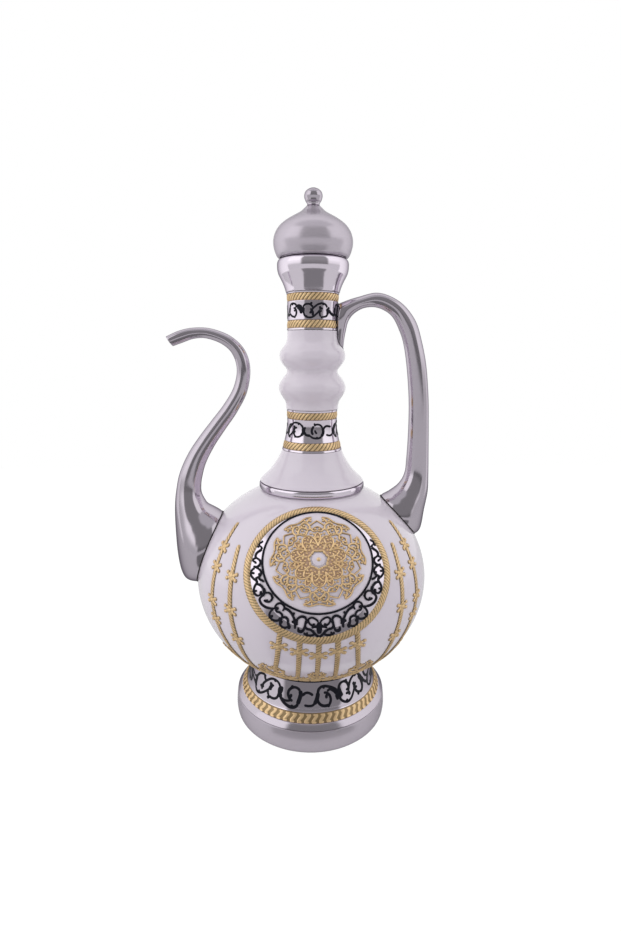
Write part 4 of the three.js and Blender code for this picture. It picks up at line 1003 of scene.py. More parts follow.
def seated(rings, flow):
    """Rings cut where the tube meets the globe, and the closed seam line. flow rings share the cut out."""
    outside = off_globe(rings) - SEAT_GAP
    sides = rings.shape[1]
    start = np.zeros(sides)
    for side in range(sides):
        last = np.where(outside[:, side] < 0)[0][-1]
        start[side] = last + outside[last, side] / (outside[last, side] - outside[last + 1, side])
    stop = math.ceil(start.max()) + 3
    side = np.arange(sides)
    rows = []
    for t in np.linspace(0, 1, flow):
        at = start + (stop - start) * t
        low = np.floor(at).astype(int)
        high = np.minimum(low + 1, len(rings) - 1)
        share = (at - low)[:, None]
        rows.append(rings[low, side] * (1 - share) + rings[high, side] * share)
    return np.concatenate([np.array(rows), rings[stop + 1 :]]), rows[0]


def open_tip(rings):
    """The rings with the spout's lip and the start of its bore added."""
    tip = rings[-1]
    centre = tip.mean(axis=0)
    along = centre - rings[-2].mean(axis=0)
    along /= np.linalg.norm(along)
    added = [centre + (tip - centre) * share + along * out for share, out in LIP_RINGS]
    for back in BORE_RINGS:
        middle = rings[-back].mean(axis=0)
        added.append(middle + (rings[-back] - middle) * BORE_SHARE)
    return np.concatenate([rings, np.array(added)])


def seam_bead(name, seam, stands_for, inward=3.0, width=0.35, rise=0.75, sink=0.6):
    """A thin dark gasket that shows as a line where a foot meets the globe."""
    out = seam - seam.mean(axis=0)
    out /= np.linalg.norm(out, axis=1, keepdims=True)
    rows = []
    for across, up in ((-inward, -sink), (-inward, rise), (width, rise), (width, -sink)):
        ray = seam + out * across - GLOBE_CENTRE
        rows.append(shoot(ray * 0.5, ray, up))
    faces = grid_faces(len(rows), len(seam), close_rows=True)
    add_piece(name, np.concatenate(rows), faces, rubber(), "rubber", stands_for=stands_for)


def neck_contact(rings):
    """Where the front of the saddle meets the neck: degrees from the front and heights."""
    profile = np.array(NECK_BULBS + UPPER_BAND)
    line = []
    for ring in rings:
        front = ring[len(ring) // 2 :]
        clear = np.hypot(front[:, 0], front[:, 1]) - np.interp(front[:, 2], profile[:, 1], profile[:, 0])
        crossing = np.where((clear[:-1] > 0) & (clear[1:] <= 0))[0]
        if len(crossing) and front[0, 2] > profile[0, 1]:
            k = crossing[0]
            share = clear[k] / (clear[k] - clear[k + 1])
            x, y, z = front[k] * (1 - share) + front[k + 1] * share
            line.append((math.degrees(math.atan2(x, -y)), z))
    return line


class EWER_OT_spout(Operator):
    """Builds the spout with its flared foot and open tip"""

    bl_idname = "ewer.spout"
    bl_label = "Spout"

    def execute(self, context):
        rings, seam = seated(sections(SPOUT), flow=14)
        held = ["spout_root", "spout_tube"]
        skin("spout_skin", open_tip(rings), cast_chrome(), "chrome", stands_for=held)
        seam_bead("spout_seam", seam, ["spout_gasket"])
        return report_done(self, "Spout built")


class EWER_OT_handle(Operator):
    """Builds the loop handle with its saddle and its flared foot"""

    bl_idname = "ewer.handle"
    bl_label = "Handle"

    def execute(self, context):
        rings, seam = seated(sections(HANDLE)[::-1], flow=12)
        skin("handle_skin", rings, cast_chrome(), "chrome", stands_for=["handle"])
        seam_bead("handle_seam", seam, ["handle_gasket"])
        self.saddle_shade_line(neck_contact(rings))
        return report_done(self, "Handle built")

    def saddle_shade_line(self, line):
        """A thin dark line down each side of the saddle, where it meets the neck: black enamel as painted
        shade in the crease there.
        """
        seam = Strokes(on_band(NECK_BULBS + UPPER_BAND), relief=0.35, radius=19)
        for side in (line, [(180 - u, v) for u, v in line]):
            seam.add(side, width=1.5, steps=2)
        seam.finish("saddle_shade_line", enamel(), "black_enamel")


# Pieces inside and underneath

# The angle in degrees from which an edge of the frame's solids is sharp
FIXING_CREASE = 35


class EWER_OT_fixings(Operator):
    """Gives the frame's solids their materials. Only those that nothing finer replaces are shown"""

    bl_idname = "ewer.fixings"
    bl_label = "Fixings"

    def execute(self, context):
        finishes = {
            "steel": plain_steel(),
            "rubber": rubber(),
            "silicone": silicone(),
            "felt": felt(),
            "gold": gold(),
            "chrome": chrome(),
            "satin_metal": satin(),
            "white_glaze": glaze(),
        }
        for part in frame["record"]["subparts"]:
            held = frame["nodes"][part["node"]]
            held.data.materials.clear()
            held.data.materials.append(finishes[part["material_slot"]])
            held.data.shade_smooth()
            held.data.set_sharp_from_angle(angle=math.radians(FIXING_CREASE))
        return report_done(self, "Fixings finished")


# Neck bands and the foot's bands

# The neck's ropes: strands round the neck, mesh columns for each, the strands' slant and height, the
# rope's thickness, and its lift, which is below 0 where it sits in a groove
NECK_STRANDS = 40
NECK_STRAND_COLUMNS = 12
NECK_ROPE = {"strands": NECK_STRANDS, "slant": -1.5, "height": 0.6, "thickness": 0.55, "lift": -0.7}

# The key band: its sloping ledge as radius and height, and one key as degrees from its middle and heights
KEY_COUNT = 64
KEY_LEDGE = [(55.8, 23.8), (52.5, 30.0)]
KEY_RELIEF = 0.4
KEY = [
    (1.1, [(-0.9, 29.3), (2.7, 29.3)]),
    (2.1, [(2.4, 29.6), (-2.0, 24.6)]),
    (1.1, [(-2.3, 24.8), (1.3, 24.8)]),
]

# The scrolls over a third of the turn: widths, then degrees from the front and heights
FOOT_SCROLL = [
    (1.6, [(-64, 43.5), (-60, 44), (-57.5, 46.3), (-54, 49.3), (-50, 50.8), (-46.5, 51.2)]),
    (1.9, [(-46, 51.6), (-47, 49.5), (-46.5, 47.2), (-45, 46.2)]),
    (2.4, [(-58.5, 46), (-60, 42), (-61, 38.5), (-60.5, 35.5)]),
    (1.5, [(-61, 37), (-60, 34.6), (-57.5, 33.2), (-54.5, 33.2), (-51, 34.5), (-47, 37),
          (-43.5, 39.7), (-41, 42)]),
    (2.4, [(-42, 40.8), (-40.4, 42.8), (-39.4, 44.6), (-40, 47.4)]),
    (1.6, [(-39.8, 44.2), (-38, 45.1), (-36.6, 45.9)]),
    (1.8, [(-41, 42), (-39.4, 40.8)]),
    (1.4, [(-54, 33.6), (-55.2, 35.2)]),
    (1.6, [(-30, 46), (-31.3, 49), (-34, 50.8), (-37.5, 51), (-41, 49.6), (-45, 46.8), (-48.5, 43.6),
          (-50.6, 40.5), (-51.4, 37)]),
    (1.9, [(-50.3, 41.2), (-52.2, 39.8), (-53.8, 39.2)]),
    (1.7, [(-49.7, 42.5), (-50.4, 39), (-49.3, 41.5)]),
    (1.9, [(-35, 50.8), (-35.4, 49)]),
    (3.0, [(-29.5, 46.5), (-30.5, 43.5), (-30.6, 40.5), (-29.3, 37.8)]),
    (1.6, [(-31.5, 41), (-32.8, 37.6), (-35, 35.7), (-38.5, 35), (-41.5, 35.6)]),
    (2.0, [(-41, 35.6), (-43.7, 33.3)]),
    (1.6, [(-41.8, 35.4), (-43.3, 37.3), (-43, 39.6)]),
    (2.0, [(-28.4, 47.4), (-28.8, 44.5), (-29.4, 42)]),
    (1.9, [(-30.5, 39), (-28, 36), (-25.3, 34.4), (-22, 33.2), (-18.8, 32.9), (-15.8, 33.8),
          (-13.8, 35.8)]),
    (2.6, [(-14.3, 35.4), (-13.2, 38.3), (-12.2, 41.4), (-11.6, 44.4), (-12.4, 46.8)]),
    (1.8, [(-12.2, 46.2), (-14, 48.3), (-17, 48.9), (-20, 47.6), (-22, 45.4), (-22.8, 42.6),
          (-22, 40), (-20.4, 38.2), (-18.6, 37.4)]),
    (2.0, [(-18.6, 48.6), (-19.3, 50.2)]),
    (1.7, [(-21.5, 39.8), (-20.2, 41), (-20, 43)]),
    (1.5, [(-29, 38.2), (-26.5, 36.9), (-23.5, 36.9), (-20, 38)]),
    (1.7, [(-19, 33.3), (-19.3, 34.8)]),
    (1.7, [(-12, 42.6), (-9.8, 43.2), (-8, 44.8), (-5.5, 45.3), (-3, 44.4), (-1.2, 43)]),
    (1.5, [(-8.6, 35.3), (-5, 34.9), (-2, 35.2), (0, 36.6), (1.4, 38.8)]),
    (2.6, [(0, 36), (1.8, 39.5), (2.7, 42.5), (3, 45.4)]),
    (1.8, [(2.8, 44.5), (3.4, 47.6), (5.2, 49.6), (8, 50.3), (11, 49.7), (14, 48.6), (17, 47.2)]),
    (1.5, [(8, 49.8), (7.6, 48)]),
    (3.2, [(13.5, 47.6), (16.5, 46.4), (19, 44), (21, 41.6), (23, 40), (24.8, 38.9)]),
    (1.8, [(10.8, 45.6), (13, 47), (16, 46.6)]),
    (1.9, [(19.2, 42), (19.8, 39.5), (21, 37)]),
    (1.8, [(2.2, 40.5), (3.8, 37), (6.3, 35), (9.5, 34.4), (12.6, 34.8)]),
    (2.2, [(11.6, 34.8), (13, 33.4)]),
    (1.7, [(12.6, 34.6), (14, 37.4), (13.8, 40.3), (12.5, 42.8), (10.5, 44.4), (7.8, 44.9)]),
    (1.8, [(10.9, 43.4), (10.2, 41.6), (10.6, 39.8)]),
    (2.4, [(21.2, 47), (22.2, 44), (23.6, 41.2), (25, 38.9)]),
    (1.8, [(21.6, 44), (21.6, 47.6), (23.2, 50), (26, 50.7), (28.8, 49.4), (30.8, 46.6), (31.7, 43.6),
          (31.3, 41)]),
    (1.9, [(28.9, 49.6), (27.8, 52)]),
    (1.9, [(31.4, 42), (28.9, 43.6)]),
    (1.9, [(31.2, 40.6), (28.8, 39.2)]),
    (1.9, [(31.4, 41), (32.4, 39), (33, 37.4)]),
    (1.6, [(22.4, 38.4), (24.2, 35.8), (27.5, 33.8), (31, 33.3), (34.2, 34.6), (36.4, 37),
          (37.8, 39.8), (38.8, 42.2)]),
    (1.6, [(29.7, 33.9), (29.6, 35.4)]),
    (2.0, [(38.4, 40.6), (38.2, 43.6), (36.6, 46.6)]),
    (1.9, [(38.4, 42.6), (39.8, 45.6)]),
    (1.8, [(38.6, 42), (40.2, 41.4), (41.8, 40.2)]),
    (1.8, [(31.6, 42.6), (32.2, 46.4), (33.6, 49.8), (36, 52), (39, 53), (42, 52), (44.6, 49)]),
    (1.6, [(38.6, 52.6), (38.8, 50.6)]),
    (3.0, [(43.4, 50.4), (45.4, 47.6), (48, 44.8), (51, 42.4)]),
    (1.9, [(50, 43.4), (54, 40), (57, 38.4), (60, 36.6)]),
    (2.2, [(46.6, 45.6), (48.7, 41.6), (49.4, 38.4), (48.4, 35.8), (45.5, 35.1)]),
    (1.7, [(45.8, 35.2), (42.8, 36.2), (40.4, 38.2), (38.8, 40.8)]),
    (2.1, [(43.8, 35.6), (42.4, 33.8)]),
    (1.7, [(50, 53), (50.8, 49.6), (53, 46.4), (56, 43.8)]),
]
LOWER_SCROLL = [
    (0.95, [(-68, 233.2), (-63, 235), (-58, 236.6), (-52, 238.6), (-46, 239.5), (-40, 239.6),
          (-33, 239.2), (-27.5, 238)]),
    (1.1, [(-29, 238.4), (-24.6, 236.8), (-24.2, 235), (-26.4, 235.4)]),
    (0.8, [(-35.5, 239), (-35, 237.9)]),
    (1.5, [(-24.4, 236), (-23, 233.4), (-24.6, 231.8), (-28, 230.6)]),
    (0.95, [(-26, 231), (-31, 229.9), (-36, 229.5), (-41, 229.7), (-45, 230.8), (-46.4, 232.4)]),
    (0.95, [(-65, 229.2), (-60, 229.5), (-56, 230.7), (-51, 232.3), (-47.5, 233.8)]),
    (1.3, [(-46.5, 230.8), (-47.5, 233.4), (-46.3, 235.6), (-47, 237.6)]),
    (1.1, [(-46, 235.6), (-42, 236), (-38.4, 235.9)]),
    (1.1, [(-46.5, 233.2), (-42, 233)]),
    (1.1, [(-41.5, 229.8), (-43.4, 228.9)]),
    (1.3, [(-66, 234.4), (-64.6, 232), (-62, 231.8)]),
    (1.3, [(-23.4, 234.6), (-20, 232.8), (-16.5, 231.4), (-11, 230.9), (-6, 230.8)]),
    (1.0, [(-18.8, 237), (-20, 235), (-21.6, 233.6)]),
    (1.0, [(-7, 230.6), (-3, 229.5), (2, 229), (8, 228.9), (13, 229.2), (17.5, 230.2)]),
    (1.5, [(16.5, 230), (20.5, 231.8), (22.2, 234), (20.5, 236.4)]),
    (1.0, [(21, 236), (16.5, 237.9), (11, 238.7), (5, 238.6), (1, 237.7)]),
    (1.0, [(3, 238.4), (1.2, 239.7)]),
    (1.2, [(1, 237.6), (-2, 236.4), (-3.8, 234.6), (-3.4, 232.8), (-0.6, 231.4)]),
    (1.0, [(2.8, 234.8), (4.4, 233.2), (7.8, 232.2)]),
    (0.9, [(7, 229.2), (7.4, 230.2)]),
    (1.1, [(22, 234.6), (24.6, 236.2), (29, 237.2), (34, 237.3), (40, 236.8), (44, 236.8)]),
    (1.0, [(29, 231.4), (33, 230.7), (38.5, 230.4), (44, 230.8), (49, 232.2)]),
    (1.9, [(49.4, 232), (52, 234), (54, 236.2)]),
    (1.0, [(53, 235.8), (56.6, 237.4), (61, 238), (66, 238.2)]),
    (1.0, [(50, 233), (54.4, 230.4), (59, 229.2), (64, 228.8)]),
]
UPPER_SCROLL = [
    (0.95, [(-25, 320), (-21, 321.3), (-16, 321.8), (-9.5, 321.6), (-5, 320.4), (-2.4, 318.9)]),
    (1.1, [(-8.6, 321.6), (-4.6, 322.9)]),
    (0.95, [(-24.4, 317), (-21.6, 314.4), (-17, 313.2), (-11, 312.8), (-5, 313), (0, 313.9),
          (5, 315.3), (9.4, 316.6), (12.4, 317.9)]),
    (0.9, [(-17.8, 313.2), (-15.6, 314.2)]),
    (1.9, [(-24.6, 320), (-25.4, 318), (-24.6, 316)]),
    (0.95, [(-6, 317.4), (-2.4, 319), (2.4, 320.3), (8, 321.5), (15, 322.2), (21.5, 322.1),
          (27, 321.1), (30, 319.5)]),
    (1.2, [(-5.6, 318), (-9.4, 318.5)]),
    (1.2, [(-5, 317.4), (-8, 316.2), (-11, 315.9)]),
    (1.2, [(-4.6, 317.6), (-3, 315.6), (-4, 314)]),
    (1.2, [(13, 317.8), (13.4, 319), (11.6, 320.4)]),
    (1.1, [(14, 318.6), (19.4, 319)]),
    (1.1, [(13.6, 317.6), (16, 316.6)]),
    (0.9, [(20.6, 322), (19.4, 320.9)]),
    (2.0, [(29, 319), (31.6, 318), (35, 318.6)]),
    (1.2, [(33, 318.9), (36, 319.8)]),
    (1.4, [(30, 318.4), (31.6, 316.4), (30, 314.8)]),
    (0.95, [(31, 315.2), (28, 313.9), (23, 313.4), (17, 313.2)]),
    (1.2, [(18, 313.3), (14.4, 312.6)]),
    (0.9, [(14.4, 313.4), (12, 315), (12.6, 317.4)]),
    (1.4, [(34, 318.2), (38, 316.6), (43, 315.6), (49, 314.8), (54, 315.4)]),
    (0.95, [(-67, 316), (-63, 315.4), (-58, 314.4), (-52.6, 313.7), (-47, 313.5)]),
    (1.1, [(-48, 313.6), (-44.8, 312.9)]),
    (1.0, [(-46, 313.6), (-42.8, 315), (-42, 316.6), (-43.6, 318.3), (-47, 319.2), (-51, 319.5)]),
    (1.1, [(-46.4, 318), (-49, 317.2)]),
    (1.5, [(-67, 316), (-65.8, 318), (-63.6, 320.2)]),
    (0.95, [(-64, 320), (-61.4, 321.6), (-57, 322.3), (-51.4, 322.5), (-46, 322.1), (-41.4, 321)]),
    (0.8, [(-54, 322), (-52.6, 321.2)]),
    (1.0, [(-45, 319.9), (-40.6, 320.6), (-36, 321.1), (-31.6, 320.7), (-27, 319.7)]),
    (1.5, [(-40, 320.4), (-35.4, 319.2), (-31, 317.6), (-28.4, 315.4)]),
    (1.3, [(-36, 320.4), (-30, 319.4), (-25.6, 318.4)]),
]


class EWER_OT_bands(Operator):
    """Builds the neck bands' ropes and scrolls, and the foot's key band and scroll"""

    bl_idname = "ewer.bands"
    bl_label = "Bands"

    def execute(self, context):
        for name, band, ropes in BANDS:
            for end, (bottom, top) in zip(("bottom", "top"), ropes):
                self.neck_rope(name, band, end, bottom, top)
        scroll("lower_scroll", LOWER_BAND, LOWER_SCROLL, radius=18.8, weight=1.45)
        scroll("upper_scroll", UPPER_BAND, UPPER_SCROLL, radius=18.2, weight=1.45)
        scroll("foot_scroll", FOOT_FLARE, FOOT_SCROLL, radius=50, weight=1.2)
        self.key_ring()
        self.keys()
        return report_done(self, "Bands built")

    def neck_rope(self, name, band, end, bottom, top):
        u = np.linspace(0, 360, NECK_STRANDS * NECK_STRAND_COLUMNS, endpoint=False)
        low, high = (u, u * 0 + bottom), (u, u * 0 + top)
        held = [f"{name}_rope_{end}"]
        rope(f"{name}_strands_{end}", on_band(band), low, high, stands_for=held, **NECK_ROPE)

    def key_ring(self):
        """The darker gold ring under the keys."""
        ring = rounded([(51.0, 30.4), (51.0, 24.2), (55.6, 24.0, 0.2), (52.6, 30.1, 0.2)], 0.1)
        turned("key_ring", ring, dark_gold(), "gold", stands_for=["foot_key_band"])

    def keys(self):
        keys = Strokes(on_band(KEY_LEDGE), KEY_RELIEF, radius=54)
        draw_round(keys, KEY, KEY_COUNT)
        keys.finish("key_strokes", gold(), "gold")


# Medallions

# The plate's half sizes and height, and its outline as shares of the way out and heights
PLATE_WIDE, PLATE_TALL, PLATE_TOP = 44.6, 40.8, 0.55
PLATE_ROWS = [(0.02, PLATE_TOP), (0.5, PLATE_TOP), (0.97, PLATE_TOP)]
PLATE_ROWS += [(1.0, 0.4), (1.0, -0.3), (0.5, -0.3), (0.02, -0.3)]
OVAL_SIDES = 220

# The rope round the plate: half sizes, width, and its strands as for the neck's ropes
ROPE_WIDE, ROPE_TALL = 48.4, 44.6
ROPE_WIDTH = 4.7
OVAL_STRANDS = 130
OVAL_STRAND_COLUMNS = 8
OVAL_ROPE = {"strands": OVAL_STRANDS, "slant": 1.9, "height": 0.55, "thickness": 1.2, "lift": 0.3}

# The raised disc: half sizes, how far its middle lies above the plate's, and its rounded edge
DISC_WIDE, DISC_TALL, DISC_RISE, DISC_TOP = 35.9, 33.0, 6.9, 2.3
DISC_ROWS = [(0.02, DISC_TOP), (0.5, 2.2), (0.86, 1.9), (0.93, 1.7), (0.965, 1.4), (0.985, 0.9)]
DISC_ROWS += [(0.985, 0.0), (0.5, 0.0), (0.02, 0.0)]
# The dark line round it, from and to these shares of the disc, and its section
LINE_FROM, LINE_TO = 0.972, 1.012
LINE_SECTION = [(0.0, 0.2), (0.0, 1.75), (0.2, 1.95), (0.75, 1.75), (1.0, 1.2), (1.0, 0.2)]

# Half of the crescent's scroll on the plate, in the medallion's plane, mirrored for the other half
CRESCENT = [
    (1.2, [(-0.6, -30.8), (-2.2, -29.2), (-4.8, -28.1), (-6.8, -29), (-6.6, -31), (-5.2, -32.6),
          (-3.7, -32.7), (-3.1, -31.7)]),
    (1.4, [(-3.5, -32.2), (-3.5, -31.6)]),
    (2.0, [(-0.3, -31), (-0.9, -33.8), (-0.6, -36.4), (-0.1, -38)]),
    (1.5, [(-0.8, -33.6), (-2.6, -33.6), (-5, -34.2)]),
    (1.5, [(-14.2, -31.5), (-13.9, -28.9), (-11.7, -27.4), (-9.4, -27.6), (-8.2, -29.2)]),
    (1.6, [(-8, -28.8), (-8.7, -31.6), (-9.4, -34.2), (-10.5, -36.2), (-12.3, -36.5), (-13.5, -35.3),
          (-12.6, -34.7)]),
    (1.4, [(-8.4, -30.4), (-7.6, -31.6)]),
    (1.4, [(-9, -33), (-8, -34.8), (-5.8, -35.3), (-4.3, -36.4), (-3, -37.8), (-1.4, -39.2), (0, -39.6)]),
    (1.2, [(-10, -37.4), (-8, -38.6), (-5.4, -39), (-3.2, -38.4), (-2.4, -37.6)]),
    (1.3, [(-8.4, -38.3), (-7.2, -37.3)]),
    (1.5, [(-21.8, -22), (-19, -23.5), (-17, -26), (-15.9, -28.4), (-15.3, -31), (-15.3, -34.6)]),
    (2.6, [(-15.2, -29), (-14.9, -32.4)]),
    (1.5, [(-16.6, -26.4), (-15.6, -24.7)]),
    (1.6, [(-15.6, -30.3), (-17.5, -30.4)]),
    (1.6, [(-15, -31), (-13.6, -32.4)]),
    (1.3, [(-27.8, -22.3), (-27.5, -20.5), (-26, -19.2), (-23.8, -19.1), (-22.2, -20.5), (-21.9, -22),
          (-23, -23.8)]),
    (1.7, [(-28.2, -22), (-25.3, -22.1)]),
    (1.3, [(-28.8, -22.4), (-30.4, -23.5), (-31.4, -25.6), (-30.8, -27.8), (-28.8, -29.2),
          (-26.6, -29.5), (-24.6, -28.9), (-23.6, -27.4)]),
    (1.3, [(-27.4, -22.6), (-26.6, -24), (-24.8, -24.5), (-23.4, -26), (-23.3, -27.5)]),
    (1.8, [(-30.8, -27.2), (-29.2, -26.4)]),
    (1.7, [(-23.4, -28), (-25.8, -28.6)]),
    (1.5, [(-23.6, -27.6), (-21.4, -27.5), (-19.8, -28.9), (-19.7, -31), (-19.2, -33)]),
    (2.3, [(-20.2, -33.4), (-18.6, -33.6)]),
    (1.9, [(-18.8, -32.6), (-19, -34.8)]),
    (1.3, [(-23.4, -28.4), (-24.6, -29.8), (-24.6, -31.8), (-23.4, -33.4), (-21.4, -33.9), (-20, -33.4)]),
    (1.7, [(-24.4, -30.2), (-23.3, -31.2)]),
    (1.3, [(-35.8, -14), (-37.4, -15.4), (-37.6, -17), (-36.2, -19.4), (-33.4, -21.3), (-30.6, -21.9),
          (-28, -22)]),
    (1.3, [(-34, -12.4), (-31.6, -12.4), (-29.9, -14), (-29.7, -16.2), (-31.2, -17.8), (-33.4, -17.7),
          (-34.9, -16.6)]),
    (1.4, [(-33.2, -17.2), (-32.4, -16.5)]),
    (1.5, [(-30, -15.2), (-28.6, -15.6)]),
    (2.0, [(-35.3, -9.2), (-34.6, -11), (-34.8, -12.6), (-36, -14.6)]),
    (1.3, [(-39.2, -5.6), (-40.8, -8), (-41.4, -10.4), (-40.7, -12.6), (-38.9, -13.9), (-37.2, -13.2),
          (-36.9, -11)]),
    (1.5, [(-41, -10.6), (-39.4, -11.2)]),
    (1.6, [(-39.4, -6.6), (-37.2, -7.4), (-35.2, -9.4)]),
    (1.3, [(-39.6, -6.8), (-39.6, -4.8), (-41.4, -3.4), (-43, -1.4), (-43.5, 0.6), (-42.6, 2.4),
          (-41, 3.6)]),
    (2.0, [(-43.2, -0.6), (-43.2, 1.2)]),
    (1.6, [(-43, 0.6), (-41, 0.2)]),
    (1.5, [(-41.8, 4.6), (-40.2, 4.2), (-38.4, 2.9)]),
    (1.4, [(-40.2, 4), (-38.2, 4.9), (-37.1, 6.6), (-37.6, 8.4), (-39.4, 9.8)]),
    (1.3, [(-38.6, 3.2), (-37, 1.6), (-36.6, 0), (-37.4, -1.6), (-39, -2.5), (-40, -3), (-39.8, -4.8)]),
    (2.2, [(-37.3, 0.2), (-37.8, -1.6)]),
    (1.4, [(-38.4, -2.4), (-37.4, -3.9), (-35.8, -4.7), (-34.8, -5.6)]),
    (1.4, [(-39, 9.4), (-40.3, 10.6), (-40.3, 12.2), (-39.2, 13.7), (-37.6, 14.7), (-36.4, 15.8)]),
    (1.3, [(-40.2, 10.2), (-41.9, 9.2), (-41.9, 8.2), (-40.6, 7.4), (-40.4, 6.3)]),
    (1.2, [(-36.4, 15.8), (-36.6, 17), (-37.9, 18.2), (-37.8, 19.5), (-36.4, 20.4), (-35.6, 21.3)]),
    (1.3, [(-37.9, 18.2), (-39.2, 16.8)]),
]

# The rosette's sectors, and the degrees from a palmette to the edge of its sector
SECTORS = 7
EDGE = 25.7
# Half of a sector: widths, then degrees from the palmette and distances from the centre
ROSETTE = [
    (0.8, [(EDGE, 27.4), (20, 25.7), (14.6, 24.3)]),
    (0.7, [(EDGE, 23), (20, 22), (15, 20.8)]),
    (1.0, [(0, 28.3), (4, 28.6), (8.5, 29.6), (13, 30.2), (19.5, 30.1)]),
    (1.2, [(11.5, 26.6), (14.5, 28.4), (19, 29.6)]),
    (1.1, [(10.6, 27.4), (9, 29.2)]),
    (1.3, [(2.4, 26.4), (7, 27.2), (11.6, 26), (13.9, 23.6), (12, 21.4), (8.4, 21.8), (7.6, 23.6),
          (9.8, 24.2)]),
    (1.3, [(0, 24.5), (4, 23.8), (7.5, 22)]),
    (1.0, [(0, 26.2), (2.2, 25.4), (0, 24.4)]),
    (1.1, [(14, 22), (19, 19.6), (EDGE, 20.2)]),
    (1.0, [(9, 21.2), (5, 19.6), (0, 18)]),
    (1.1, [(0, 17.4), (7, 17), (13.5, 15.6), (19.5, 13), (23.5, 10.4), (EDGE, 8.8)]),
    (0.9, [(EDGE, 18.6), (21.5, 17.4), (19, 15.4), (21, 13.6), (EDGE, 12.6)]),
    (1.2, [(0, 11.6), (4.5, 12.6), (9.5, 14.2), (13.5, 13.6)]),
    (1.2, [(0, 9.4), (7, 10), (12, 9.6)]),
    (1.5, [(0, 7), (0, 11.6)]),
    (1.4, [(EDGE, 5.7), (17, 5.8), (8, 6.2), (0, 6.7)]),
]
ROSETTE_WEIGHT = 1.15
# The berries between its lines, and the edges of the gold wash under it
ROSETTE_BERRIES = [(0, 14.6), (5, 15.8), (11, 11.8), (16, 11), (17, 8.4), (EDGE, 10.8), (EDGE, 15.6)]
ROSETTE_BERRIES += [(23, 15), (0, 19.6), (12, 18.4), (18, 17.6), (22, 21.2), (17, 27.6), (4.5, 20.6)]
ROSETTE_BERRIES += [(5.6, 25.2), (0, 22.2)]
BERRY_R = 0.85
BOSS_R = 4.5
WASH_INSIDE = [(0, 6.5), (EDGE, 5.9)]
WASH_OUTSIDE = [(0, 17.2), (7, 16.8), (13.5, 15.6), (18, 15.2), (21.5, 17.2), (EDGE, 18.4)]
WASH_SECTION = [(0.0, -0.3), (0.0, 0.1), (0.5, 0.1), (1.0, 0.1), (1.0, -0.3)]
# The rosette is a little lower than it is wide, and the disc under it falls away from its middle
ROSETTE_SQUASH = 0.94
DISC_FALL = 0.45


class EWER_OT_medallions(Operator):
    """Builds the front and the back medallion: plate, rope, disc, scroll and rosette"""

    bl_idname = "ewer.medallions"
    bl_label = "Medallions"

    def execute(self, context):
        for side, back in (("front", False), ("back", True)):
            chart = medallion_chart(back)
            self.plate(side, chart)
            self.oval_rope(side, chart)
            self.disc(side, chart)
            self.crescent(side, chart)
            self.rosette(side, chart)
            self.boss(side, chart)
            self.wash(side, chart)
        return report_done(self, "Medallions built")

    def plate(self, side, chart):
        edge = oval(PLATE_WIDE, PLATE_TALL, OVAL_SIDES)
        name = f"{side}_plate_skin"
        oval_plate(name, chart, edge, PLATE_ROWS, chrome(), "chrome", [f"{side}_medallion_plate"])

    def oval_rope(self, side, chart):
        columns = OVAL_STRANDS * OVAL_STRAND_COLUMNS
        inner = oval(ROPE_WIDE - ROPE_WIDTH, ROPE_TALL - ROPE_WIDTH, columns)
        outer = oval(ROPE_WIDE, ROPE_TALL, columns)
        held = [f"{side}_medallion_rope"]
        rope(f"{side}_rope_strands", chart, inner.T, outer.T, stands_for=held, **OVAL_ROPE)

    def disc(self, side, chart):
        """The white disc and the dark line round it."""
        edge = oval(DISC_WIDE, DISC_TALL, OVAL_SIDES, DISC_RISE)
        name = f"{side}_disc_skin"
        oval_plate(name, chart, edge, DISC_ROWS, glaze(), "white_glaze", [f"{side}_medallion_disc"])
        inner = oval(DISC_WIDE * LINE_FROM, DISC_TALL * LINE_FROM, OVAL_SIDES, DISC_RISE)
        outer = oval(DISC_WIDE * LINE_TO, DISC_TALL * LINE_TO, OVAL_SIDES, DISC_RISE)
        name = f"{side}_disc_line"
        ring_band(name, chart, inner.T, outer.T, LINE_SECTION, enamel(), "black_enamel")

    def crescent(self, side, chart):
        strokes = Strokes(chart, sizes().engraving, lift=PLATE_TOP)
        for width, drawn in CRESCENT:
            for mirror in (1, -1):
                strokes.add([(mirror * u, v) for u, v in drawn], width)
        strokes.finish(f"{side}_crescent_scroll", enamel(), "black_enamel")

    def rosette(self, side, chart):
        relief = sizes().gold_relief
        cast = Strokes(chart, relief, section=ROUND_STROKE)
        for sector in range(SECTORS):
            cast.chart = rosette_chart(chart, sector)
            for mirror in (1, -1):
                for width, line in ROSETTE:
                    cast.add(polar_line(line, mirror), width * ROSETTE_WEIGHT)
                # A berry on a line of symmetry is drawn once
                own = [place for place in ROSETTE_BERRIES if mirror > 0 or place[0] not in (0, EDGE)]
                for place in polar_line(own, mirror):
                    cast.bead(place, BERRY_R, relief)
        cast.chart = rosette_chart(chart)
        cast.bead((0, 0), 2 * BERRY_R, relief * 1.5)
        cast.finish(f"{side}_rosette_strokes", gold(), "gold", stands_for=[f"{side}_rosette"])

    def boss(self, side, chart):
        """The low white boss in the rosette's middle."""
        relief = sizes().gold_relief
        boss = Strokes(rosette_chart(chart), relief)
        boss.bead((0, 0), BOSS_R, relief * 0.9)
        boss.finish(f"{side}_boss", glaze(), "white_glaze")

    def wash(self, side, chart):
        """The gold ground under the inner half of the rosette."""
        inner, outer = rosette_edge(WASH_INSIDE), rosette_edge(WASH_OUTSIDE)
        name = f"{side}_rosette_ground"
        ring_band(name, rosette_chart(chart), inner, outer, WASH_SECTION, gold_wash(), "gold")


